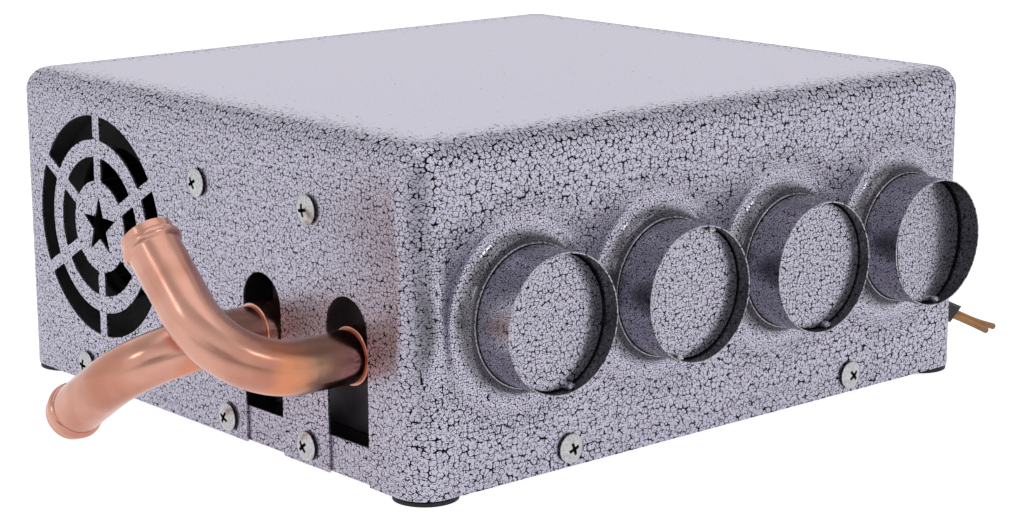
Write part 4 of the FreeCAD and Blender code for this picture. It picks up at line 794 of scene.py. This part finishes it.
# Each finish's name, colour, roughness, grain in millimetres and the pieces that have it
METALS = (
    (
        "zinc_plate", srgb(190, 190, 192), 0.25, METAL_GRAIN,
        ("foot_screws", "foot_nuts", "housing_screws", "strap_screws"),
    ),
    ("fin_aluminium", srgb(205, 207, 210), 0.35, METAL_GRAIN, ("core_fins",)),
    (
        "galvanised", srgb(172, 174, 178), 0.38, 6.0,
        ("side_rail_left", "side_rail_right", "blower_partition", "motor_cradle", "motor_strap"),
    ),
    ("ground_steel", srgb(190, 190, 192), 0.2, METAL_GRAIN, ("motor_shaft",)),
    ("lamination", srgb(120, 120, 124), 0.4, METAL_GRAIN, ("motor_armature",)),
    ("bronze", srgb(190, 150, 92), 0.35, METAL_GRAIN, ("motor_bearings",)),
)
MOULDED = (
    # The tanks' black is painted lighter, standing in for light that barely reaches them behind the notches
    ("satin_black", srgb(84, 82, 92), 0.32, MOULDED_GRAIN, ("core_tank_left", "core_tank_right")),
    ("black_rubber", srgb(30, 30, 32), 0.6, MOULDED_GRAIN, ("feet", "cable_grommet")),
    ("black_foam", srgb(34, 34, 36), 0.85, 1.6, ("core_seals", "inlet_seals")),
    (
        "blower_plastic", srgb(8, 8, 9), 0.8, MOULDED_GRAIN,
        (
            "blower_housing_left", "blower_housing_right", "impeller_left", "impeller_right",
            "motor_brush_card",
        ),
    ),
    (
        "motor_paint", srgb(70, 70, 74), 0.4, MOULDED_GRAIN,
        ("motor_can", "motor_cap_left", "motor_cap_right"),
    ),
    ("ferrite", srgb(52, 52, 56), 0.6, MOULDED_GRAIN, ("motor_magnets",)),
    ("black_vinyl", srgb(28, 28, 30), 0.4, MOULDED_GRAIN, ("cable_sleeve", "inner_lead")),
)
LEAD_TAN = srgb(196, 142, 84)
LEAD_ROUGHNESS = 0.45


def finish_pieces():
    case_paint = crackle_paint(
        "crackle_paint_case", sheet_place, case_weights, case_painted_shade, case_rim_highlight, case_roughness
    )
    paint(["case_shell"], case_paint)
    paint(["base_tray"], crackle_paint("crackle_paint_tray", sheet_place))
    for number, centre in enumerate(OUTLET_CENTRES, 1):
        def unrolled(tree, place, middle=centre):
            return collar_place(tree, place, middle)

        collar_paint = crackle_paint(
            f"crackle_paint_collar_{number}", unrolled, collar_weights, collar_painted_shade, collar_lip_highlight,
            formed_roughness, scale=COLLAR_SCALE,
        )
        disc_paint = crackle_paint(
            f"crackle_paint_disc_{number}", sheet_place, painted_shade_of=disc_painted_shade, rough_of=formed_roughness,
            scale=DISC_SCALE,
        )
        paint([f"outlet_collar_{number}"], collar_paint)
        paint([f"damper_disc_{number}"], disc_paint)
        paint([f"damper_pivots_{number}"], metal(f"zinc_rivet_{number}", RIVET_ZINC, RIVET_ROUGHNESS))
    paint(COPPER_PIPES, copper("copper_pipe", heated=True))
    paint(COPPER_FITTINGS, copper("copper_fitting", heated=False))
    add_case_screws(screw_zinc("zinc_truss_head"))
    for make, finishes in ((metal, METALS), (moulded, MOULDED)):
        for name, colour, roughness, grain_mm, nodes in finishes:
            paint(nodes, make(name, colour, roughness, grain_mm))
    add_leads(moulded("tan_insulation", LEAD_TAN, LEAD_ROUGHNESS))


bpy.context.scene.view_settings.view_transform = "Standard"
add_camera()
add_world()
add_floor()
for lamp in LAMPS:
    add_light(*lamp)
finish_pieces()
